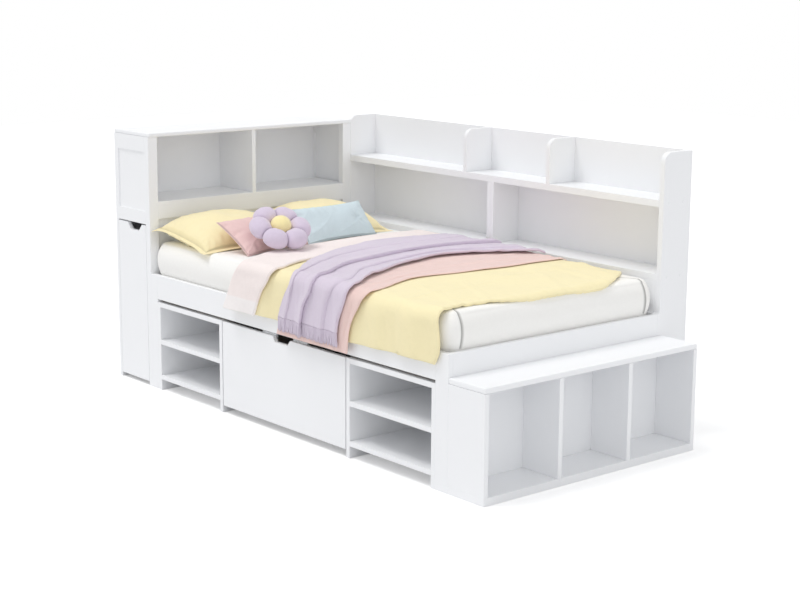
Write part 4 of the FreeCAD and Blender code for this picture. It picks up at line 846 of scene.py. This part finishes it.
WAY_START = 0.433  # y + z where way() is 0, a little under the duvet's hem
BEND = 0.040  # rounding where the covers turn down over the side
WALL_EDGE = 1.082  # far edge of the covers
HEM = 0.461  # height of the duvet's hanging edge
DUVET_OUT = 0.0085  # its place outside the rail
DUVET_RUN_OUT = 0.009  # that place as its run is measured
DUVET_WIDE = 1.25  # its length from head to foot, for its map
FLUTE_DEPTH, HEM_WAVE, FOOT_DROP = 0.0085, 0.004, 0.016
THROWS_END = (1.76, 1.82)  # x between which the duvet comes out from under the throws
PLEATS, FOOT_EDGE = (2.04, 2.17), (2.178, 2.212)  # x between which it sets in pleats, and sinks at the foot
SOFT_GAP = 0.0004  # between a cover and what it lies on
TURNBACK_RISE, TURNBACK_OUT, TURNBACK_HEM, TURNBACK_WIDE = 0.0134, 0.0290, 0.463, 0.262
TURNBACK_FLARE = 0.006  # how far its hanging end stands out at the head
BAND_TOP, BAND_RISE = 0.060, 0.0008  # upper edge of its band, along its run, and how much that stands up
ROLL_DEPTH = 0.0126  # how far the thick round fold at its head edge reaches down
FAR_SHOULDER = 1.046  # where the covers begin to sink towards the wall
DUVET_DROOP, COVER_DROOP = 0.012, 0.010  # how far they sink there
# edges of the covers: x at each length of the way up the near side and across the top, see way()
DUVET_HEAD = ((0, 0.892), (0.132, 0.951), (0.197, 0.992), (0.225, 0.996), (0.397, 0.912), (0.652, 0.862),
              (1.057, 0.822), (1.32, 0.846))
TURNBACK_END = ((0, 1.105), (0.09, 1.150), (0.16, 1.200), (0.24, 1.222), (0.30, 1.202), (0.34, 1.180),
                (0.50, 1.128), (0.60, 1.130), (0.80, 1.150), (1.1, 1.130), (1.32, 1.100))
DUVET_FOOT = ((0, 2.165), (0.058, 2.200), (0.18, 2.195), (0.40, 2.173), (0.545, 2.198), (0.838, 2.210),
              (1.1, 2.195), (1.24, 2.110), (1.32, 2.045))
LAVENDER_LEFT = ((-0.036, 1.250), (0.033, 1.277), (0.119, 1.318), (0.172, 1.351), (0.256, 1.335),
                 (0.35, 1.257), (0.477, 1.160), (0.566, 1.112), (0.736, 1.035), (1.0, 0.984), (1.187, 1.012),
                 (1.32, 1.045))
LAVENDER_RIGHT = ((-0.036, 1.640), (0.079, 1.667), (0.162, 1.702), (0.24, 1.712), (0.30, 1.682),
                  (0.36, 1.635), (0.516, 1.553), (0.707, 1.479), (0.908, 1.434), (1.004, 1.447),
                  (1.32, 1.625))
PINK_LEFT = ((-0.047, 1.252), (0.20, 1.340), (0.51, 1.240), (0.91, 1.200), (1.32, 1.180))
PINK_RIGHT = ((-0.047, 1.702), (0.09, 1.730), (0.20, 1.795), (0.51, 1.705), (0.91, 1.738), (1.32, 1.752))


def way(y, z):
    """The way up the near side and then across the top, as one length."""
    return y + z - WAY_START


def across_bed(run, out, hem, top):
    """Up the near side from the hem, round the corner and across the top: y, z and the outward direction at
    each length of run."""
    rise = top - BEND - hem
    turn = np.clip((run - rise) / BEND, 0, QUARTER_TURN)
    y = -out + BEND * (1 - np.cos(turn)) + np.maximum(run - rise - BEND * QUARTER_TURN, 0)
    z = hem + np.minimum(run, rise) + BEND * np.sin(turn)
    return y, z, -np.cos(turn), np.sin(turn)


def run_length(out, hem, top):
    """Length of that run to the far edge."""
    return top - BEND - hem + BEND * QUARTER_TURN + WALL_EDGE + out - BEND


def moved_out(y, z, out_y, out_z, move, droop):
    """A cover moved outwards. It sinks by up to droop where it passes the mattress's shoulder at the wall."""
    y, z = y + out_y * move, z + out_z * move
    return y, z - droop * ease(y, FAR_SHOULDER, WALL_EDGE) ** 1.5 * (y > 1)


def duvet_surface(thick, wrinkle):
    """The duvet's middle surface over a grid of length and run: it hangs in uneven flutes, lies flat under
    the throws, and is raised in soft folds elsewhere."""
    top = span("mattress")[1][2] + SOFT_GAP + thick / 2
    lengths = spaced(1.0, 0.0085, 0.006)
    longest = run_length(DUVET_RUN_OUT, HEM, top)
    runs = spaced(longest, 0.0095, 0.006)
    share, run = grid(lengths, runs)
    y, z, out_y, out_z = across_bed(run, DUVET_OUT, HEM, top)
    gone = way(y, z)
    foot, head = through(gone, DUVET_FOOT), through(gone, DUVET_HEAD) + 0.014
    x = head + (foot - head) * share
    hang = 1 - ease(z, top - 0.075, top - 0.004)
    bare = ease(x, *THROWS_END)
    flutes = waves(x, z * 0.12, 11, 0.19, 9, fan=0.5)
    swing = (0.5 + 0.5 * np.clip(flutes, -1, 1)) * FLUTE_DEPTH * hang
    over = (waves(x, y, 12, 0.30, 9) * 0.7 + creases(x, y, 15, 0.45, 1.2) * 1.1
            + creases(x, y, 19, 0.5, 0.3) * 0.9)
    lift = bare * over * wrinkle * (1 - hang)
    pleats = creases(y, x * 0.3, 21, 0.09, 0.0, 0.5) * ease(x, *PLEATS) * (1 - hang) * wrinkle
    small = (creases(x, z + y, 23, 0.16, 0.5) * 0.8 - 0.3) * wrinkle * hang * bare
    move = swing + lift + small + pleats
    y, z = moved_out(y, z, out_y, out_z, move, DUVET_DROOP)
    z = z + HEM_WAVE * np.sin(9 * share) * (1 - ease(run, 0, 0.12))
    z = z - FOOT_DROP * ease(x, *FOOT_EDGE) ** 2 * (1 - hang)
    middle = np.stack([x, y, z], 2)
    edge = np.minimum(lengths, 1 - lengths)[:, None] * DUVET_WIDE
    side = np.minimum(runs, longest - runs)[None, :]
    half = thick / 2 * rounded(edge, 0.0075) * rounded(side, 0.006)
    # sewn lines inside the edges, drawn in and given painted shade by the cloth
    sewn = np.maximum(bell(edge, 0.010, 0.0015), bell(side, 0.010, 0.0015))
    return middle, half, np.stack([share * DUVET_WIDE, run], 2), sewn


def turnback_surface(thick, wrinkle):
    """The turned-back part: the same run further out. Its head edge is the thick round fold of the duvet, its
    other edge runs nearer the head towards the wall, and a sewn band edges its hanging end."""
    low = span("mattress")[1][2] + SOFT_GAP + TURNBACK_RISE + thick / 2
    widths = spaced(TURNBACK_WIDE, 0.006, 0.012, 9)
    longest = run_length(TURNBACK_OUT, TURNBACK_HEM, low)
    runs = spaced(longest, 0.0085, 0.005)
    width, run = grid(widths, runs)
    y, z, out_y, out_z = across_bed(run, TURNBACK_OUT, TURNBACK_HEM, low)
    gone = way(y, z)
    head, end = through(gone, DUVET_HEAD), through(gone, TURNBACK_END)
    x = head + (end - head) * width / widths[-1]
    band = 1 - ease(run, BAND_TOP, BAND_TOP + 0.003)
    flare = TURNBACK_FLARE * (1 - ease(run, 0, 0.075)) * (1 - ease(width, 0.05, 0.2))
    hang = 1 - ease(z, low - 0.06, low)
    soft = (waves(x, run, 31, 0.13, 10) * wrinkle * (0.35 + 0.35 * hang)
            + creases(x, run, 34, 0.3, 0.2) * wrinkle * 0.5)
    move = flare + np.minimum(soft, 0.0012 + 0.01 * hang) * ease(width, 0.0, 0.03)
    y, z = moved_out(y, z, out_y, out_z, move, COVER_DROOP)
    middle = np.stack([x, y, z], 2)
    to_end, to_head = widths[-1] - width, width
    side = np.minimum(runs, longest - runs)[None, :]
    shape = rounded(np.minimum(to_head, to_end), 0.006) * rounded(side, 0.005)
    over = ((thick / 2 + BAND_RISE * band) * rounded(to_end, 0.006) * rounded(to_head, 0.012)
            * rounded(side, 0.005))
    roll = rounded(to_head, 0.010) * (1 - ease(to_head, 0.013, 0.021)) * rounded(side, 0.010)
    under = thick / 2 * shape + ROLL_DEPTH * roll
    # sewn lines at the band's edge and near the far end, drawn in and given painted shade by the cloth
    sewn = np.maximum(bell(run, BAND_TOP + 0.0015, 0.0016), bell(to_end, 0.008, 0.0014) * 0.7)
    return middle, over, under, np.stack([width, run], 2), sewn, band


class BED_OT_make_duvet(bpy.types.Operator):
    """Makes the duvet and its turned-back part"""
    bl_idname = "bed.make_duvet"
    bl_label = "Make the duvet"

    def execute(self, context):
        soft = context.scene.bed_bedding
        middle, half, flat, sewn = duvet_surface(soft.duvet_thick, soft.wrinkle)
        cloth = cloth_material("Yellow duvet", soft.duvet, 820.0, 0.05, tone=0.02, seam_shade=0.25)
        duvet = give(slab("duvet_cover", middle, half, half, cloth, flat, {"sewn": sewn}), "yellow_duvet",
                     "duvet")
        middle, over, under, flat, sewn, band = turnback_surface(soft.turnback_thick, soft.wrinkle)
        lighter = tuple(0.5 * c + 0.5 for c in soft.reverse)
        cloth = cloth_material("Duvet reverse", soft.reverse, 620.0, 0.08, seam_shade=0.3, second=lighter)
        fold = give(slab("duvet_turnback", middle, over, under, cloth, flat, {"sewn": sewn, "band": band}),
                    "yellow_duvet", "duvet")
        return {"FINISHED"}


# ---------------------------------------------------------------- throws

YARN_RIDGE = 0.0022  # height of the small ridges that run along a throw
# place outside the rail, lowest height on top, height of the hanging end
PINK_PLACE, LAVENDER_PLACE = (0.0234, 0.6642, 0.416), (0.0313, 0.6756 + YARN_RIDGE, 0.428)
EDGE_SWAY = 0.003
TUFTS = 84
TUFT_RADIUS = 0.0023
TUFT_SWAY, TUFT_CURL = 0.0030, 0.0007  # how far a strand's end hangs off the plumb, and its small sine
# how far the two rows of strands are off the throw's edge, and how far above it they start
TUFT_FORWARD, TUFT_BEHIND, TUFT_TUCK = 0.0004, 0.0020, 0.004
FOLD_LEAN = 0.85  # how far a fold's ridge leans over the next fold, as a share of its height
# for each fold across a throw: x of the valley that ends it, on the same way; its height; how late it peaks
LAVENDER_FOLDS = (
    (((-0.036, 1.295), (0.119, 1.360), (0.256, 1.372), (0.35, 1.315), (0.572, 1.197), (0.909, 1.130),
      (1.32, 1.150)), 0.0065, 3.0),
    (((-0.006, 1.421), (0.059, 1.434), (0.122, 1.460), (0.149, 1.482), (0.244, 1.499), (0.447, 1.389),
      (0.66, 1.328), (1.136, 1.301), (1.32, 1.36)), 0.0165, 7.0),
    (((-0.036, 1.560), (0.12, 1.590), (0.25, 1.640), (0.45, 1.500), (0.7, 1.420), (1.0, 1.385),
      (1.32, 1.520)), 0.0085, 3.0),
    (LAVENDER_RIGHT, 0.0095, 4.0),
)
PINK_FOLDS = (
    (((-0.047, 1.55), (0.20, 1.62), (0.51, 1.59), (0.91, 1.50), (1.32, 1.62)), 0.0022, 2.0),
    (((-0.047, 1.655), (0.20, 1.735), (0.51, 1.655), (0.91, 1.62), (1.32, 1.69)), 0.0034, 2.6),
    (PINK_RIGHT, 0.0036, 3.0),
)


def folded(x, gone, left, folds):
    """Lengthwise folds: between two valleys the cloth rises slowly and drops steeply, as sin(pi q^late) to
    the power 0.7, q running from 0 to 1 between them."""
    height = np.zeros_like(x)
    for table, high, late in folds:
        right = through(gone, table)
        q = np.clip((x - left) / (right - left), 0, 1)
        height = np.maximum(height, high * np.sin(HALF_TURN * q ** late).clip(0) ** 0.7)
        left = right
    return height


def throw_surface(out, low, hem, skipped, edges, folds, thick, seed):
    """A throw's middle surface: across goes from its left to its right edge, run from its hanging end to the
    wall. Its folds go along the run. skipped is the part of the run at the hanging end that is fringe."""
    whole = run_length(out, hem, low)
    runs = skipped + spaced(whole - skipped, 0.0105, 0.004)
    acrosses = spaced(1.0, 0.0062, 0.010)
    across, run = grid(acrosses, runs)
    y, z, out_y, out_z = across_bed(run, out, hem, low)
    gone = way(y, z)
    left, right = (through(gone, table) for table in edges)
    x = left + (right - left) * across
    fine = (creases(x, run * 0.25, seed + 3, 0.09, 0.0, 0.5) * 0.7
            + waves(x, run * 0.25, seed + 5, 0.06, 10, 0.0, 0.6) * 0.35 + 0.3) * YARN_RIDGE
    rise = folded(x, gone, left, folds)
    x = x + rise * FOLD_LEAN
    move = thick / 2 + rise + fine.clip(0)
    x = x + EDGE_SWAY * np.sin(run * 23 + seed) * (np.abs(across - 0.5) * 2) ** 3
    y, z = moved_out(y, z, out_y, out_z, move, COVER_DROOP)
    wide = (right - left).mean()
    side = np.minimum(runs - skipped, whole - runs)[None, :]
    edge = np.minimum(acrosses, 1 - acrosses)[:, None] * wide
    half = thick / 2 * rounded(edge, 0.003) * rounded(side, 0.003)
    return np.stack([x, y, z], 2), half, np.stack([(across - 0.5) * wide, run], 2), acrosses


def tufts(name, tops, length, radius, material, seed):
    """A fringe: strands of six sides that hang from their tops and come to a point at both ends. Each sways
    off the plumb by the square of its length, with a small sine on top."""
    draw = np.random.default_rng(seed)
    count, rows, sides = len(tops), 9, 6
    down = np.linspace(0, 1, rows)
    sway = draw.normal(0, TUFT_SWAY, (count, 2)) * [1, 0.35]
    lengths = length * draw.uniform(0.93, 1.05, count)
    phase = draw.uniform(0, FULL_TURN, count)
    x = tops[:, None, 0] + sway[:, :1] * down ** 2 + TUFT_CURL * np.sin(down * 9 + phase[:, None])
    y = tops[:, None, 1] + sway[:, 1:] * down ** 2
    z = tops[:, None, 2] - lengths[:, None] * down
    thick = radius * np.array([0, 0.9, 1, 0.95, 1.0, 0.9, 0.95, 0.8, 0]) * np.ones((count, 1))
    angle = round_turn(sides)
    points = np.stack([x[..., None] + thick[..., None] * np.cos(angle),
                       y[..., None] + thick[..., None] * np.sin(angle),
                       z[..., None] + 0 * angle], -1)
    i, j, k = grid(np.arange(count), np.arange(rows - 1), np.arange(sides))
    corners = [(i, j, k), (i, j + 1, k), (i, j + 1, (k + 1) % sides), (i, j, (k + 1) % sides)]
    quads = np.stack([(a * rows + b) * sides + c for a, b, c in corners], -1)
    maps = np.stack([np.stack([c * 0.004, b * 0.008], -1) for _, b, c in corners], -2)
    return meshed(name, points, quads, maps, material, {}, True)


class BED_OT_make_throws(bpy.types.Operator):
    """Makes the pink throw and the fringed lavender throw over it"""
    bl_idname = "bed.make_throws"
    bl_label = "Make the throws"

    def execute(self, context):
        soft = context.scene.bed_bedding
        thick = soft.throw_thick
        middle, half, flat, _ = throw_surface(*PINK_PLACE, 0.0, (PINK_LEFT, PINK_RIGHT), PINK_FOLDS, thick,
                                              41)
        rose = cloth_material("Pink knit", soft.rose, 300.0, 0.10, sheen=0.35, knit=True)
        pink = give(slab("throw_pink_cloth", middle, half, half, rose, flat), "pink_knit", "throw_pink")
        edges = (LAVENDER_LEFT, LAVENDER_RIGHT)
        middle, half, flat, places = throw_surface(*LAVENDER_PLACE, soft.fringe, edges, LAVENDER_FOLDS,
                                                   thick, 52)
        yarn = cloth_material("Lavender knit", soft.lavender, 260.0, 0.12, sheen=0.4, knit=True)
        lavender = give(slab("throw_lavender_cloth", middle, half, half, yarn, flat), "lavender_knit",
                        "throw_lavender")
        shares = np.linspace(0.006, 0.994, TUFTS)
        front = np.stack([np.interp(shares, places, middle[:, 2, n]) for n in range(3)], 1)
        behind = (front[1:] + front[:-1]) / 2 + [0, TUFT_BEHIND, 0]
        tops = np.concatenate([front - [0, TUFT_FORWARD, 0], behind]) + [0, 0, TUFT_TUCK]
        fringe = tufts("throw_lavender_fringe", tops, soft.fringe, TUFT_RADIUS, yarn, 71)
        give(fringe, "lavender_knit")
        return {"FINISHED"}


# ---------------------------------------------------------------- stage

CAMERA_PLACE = (5.27936, -4.42099, 1.86313)
CAMERA_YAW, CAMERA_PITCH, CAMERA_ROLL = 49.9, -11.48, 0.37
CAMERA_LENS, CAMERA_SENSOR = 75.37, 36.0
FLOOR_HALF, FLOOR_LOW = 12.0, -0.0004
FRONT_LIGHT = 0.30  # strength of the lamp in front
FLOOR_GLOW = 0.24  # light of its own that the floor shows the camera
# angle in degrees of each lamp, and the way towards it
LAMPS = {"above": (24, (-0.26, -0.30, 0.92)), "front": (60, (0.85, -0.25, 0.45))}


def camera_matrix():
    """The camera's place and axes: it looks yaw degrees left of +Y and pitch above the level, then rolls."""
    yaw, pitch, roll = (math.radians(v) for v in (CAMERA_YAW, CAMERA_PITCH, CAMERA_ROLL))
    ahead = np.array([-math.sin(yaw) * math.cos(pitch), math.cos(yaw) * math.cos(pitch), math.sin(pitch)])
    right = np.array([math.cos(yaw), math.sin(yaw), 0])
    up = np.cross(right, ahead)
    right, up = right * math.cos(roll) + up * math.sin(roll), up * math.cos(roll) - right * math.sin(roll)
    whole = np.eye(4)
    whole[:3, 0], whole[:3, 1], whole[:3, 2], whole[:3, 3] = right, up, -ahead, CAMERA_PLACE
    return Matrix(whole.tolist())


def seen_white(tree):
    """1 where the camera sees a surface, also mirrored or through glass, and 0 for the light that it
    gives."""
    path = put(tree, "LightPath").outputs
    mirrored = calc(tree, "MAXIMUM", path["Is Glossy Ray"], path["Is Transmission Ray"])
    return calc(tree, "MAXIMUM", path["Is Camera Ray"], mirrored)


def stage_material():
    """A pale floor that the camera sees as white, with the object's shadow on it."""
    made, tree, shader, _ = blank("Pale floor", Roughness=0.9, Specular_IOR_Level=0.1)
    seen = seen_white(tree)
    colour = mixed(tree, seen, (0.80, 0.80, 0.81, 1), (1, 1, 1, 1))
    tree.links.new(colour, shader.inputs["Base Color"])
    shader.inputs["Emission Color"].default_value = (1, 1, 1, 1)
    tree.links.new(times(tree, seen, FLOOR_GLOW), shader.inputs["Emission Strength"])
    return made


class BED_OT_set_stage(bpy.types.Operator):
    """Sets the floor, the light and the camera"""
    bl_idname = "bed.set_stage"
    bl_label = "Set the stage"

    def execute(self, context):
        scene, light = context.scene, context.scene.bed_stage
        mesh = bpy.data.meshes.new("floor")
        corners = ((-1, -1), (1, -1), (1, 1), (-1, 1))
        places = [(x * FLOOR_HALF, y * FLOOR_HALF, FLOOR_LOW) for x, y in corners]
        mesh.from_pydata(places, [], [(0, 1, 2, 3)])
        mesh.materials.append(stage_material())
        floor = linked("floor", mesh)
        world = bpy.data.worlds.new("Soft light")
        scene.world = world
        world.use_nodes = True
        tree = world.node_tree
        tree.nodes.clear()
        seen = seen_white(tree)
        strength = plus(tree, times(tree, seen, 1.0 - light.around), light.around)
        colour = mixed(tree, seen, (0.99, 0.995, 1, 1), (1, 1, 1, 1))
        back = put(tree, "Background", {"Color": colour, "Strength": strength})
        out = tree.nodes.new("ShaderNodeOutputWorld")
        tree.links.new(back.outputs[0], out.inputs[0])
        for (name, (angle, place)), strength in zip(LAMPS.items(), (light.above, FRONT_LIGHT)):
            lamp = bpy.data.lights.new("Light " + name, "SUN")
            lamp.energy, lamp.angle = strength, math.radians(angle)
            linked("Light " + name, lamp).rotation_euler = Vector(place).to_track_quat("Z", "Y").to_euler()
        lens = bpy.data.cameras.new("Camera")
        lens.lens, lens.sensor_width, lens.sensor_fit = CAMERA_LENS, CAMERA_SENSOR, "HORIZONTAL"
        scene.camera = linked("Camera", lens)
        scene.camera.matrix_world = camera_matrix()
        scene.view_settings.view_transform = "Standard"
        return {"FINISHED"}


# ---------------------------------------------------------------- add-on

OPERATORS = (BED_OT_paint_boards, BED_OT_make_mattress, BED_OT_make_pillows, BED_OT_make_cushions,
             BED_OT_make_flower, BED_OT_make_duvet, BED_OT_make_throws, BED_OT_set_stage)
SETTINGS = {"bed_frame": BedFrameSettings, "bed_bedding": BedBeddingSettings, "bed_stage": BedStageSettings}


class BED_PT_pieces(bpy.types.Panel):
    """Lists the bed's settings and pieces"""
    bl_idname = "BED_PT_pieces"
    bl_label = "Bookcase bed"
    bl_space_type = "VIEW_3D"
    bl_region_type = "UI"
    bl_category = "Bed"

    def draw(self, context):
        for group in SETTINGS:
            box = self.layout.box()
            for name in SETTINGS[group].__annotations__:
                box.prop(getattr(context.scene, group), name)
        for item in OPERATORS:
            self.layout.operator(item.bl_idname)


def register():
    """Registers the settings, the operators and the panel."""
    for item in (*SETTINGS.values(), *OPERATORS, BED_PT_pieces):
        bpy.utils.register_class(item)
    for name, kind in SETTINGS.items():
        setattr(bpy.types.Scene, name, bpy.props.PointerProperty(type=kind))


def unregister():
    """Takes them away again."""
    for name in SETTINGS:
        delattr(bpy.types.Scene, name)
    for item in (BED_PT_pieces, *reversed(OPERATORS), *SETTINGS.values()):
        bpy.utils.unregister_class(item)


def main():
    """Makes the whole bed."""
    register()
    for item in OPERATORS:
        area, name = item.bl_idname.split(".")
        getattr(getattr(bpy.ops, area), name)()


if __name__ == "__main__":
    main()
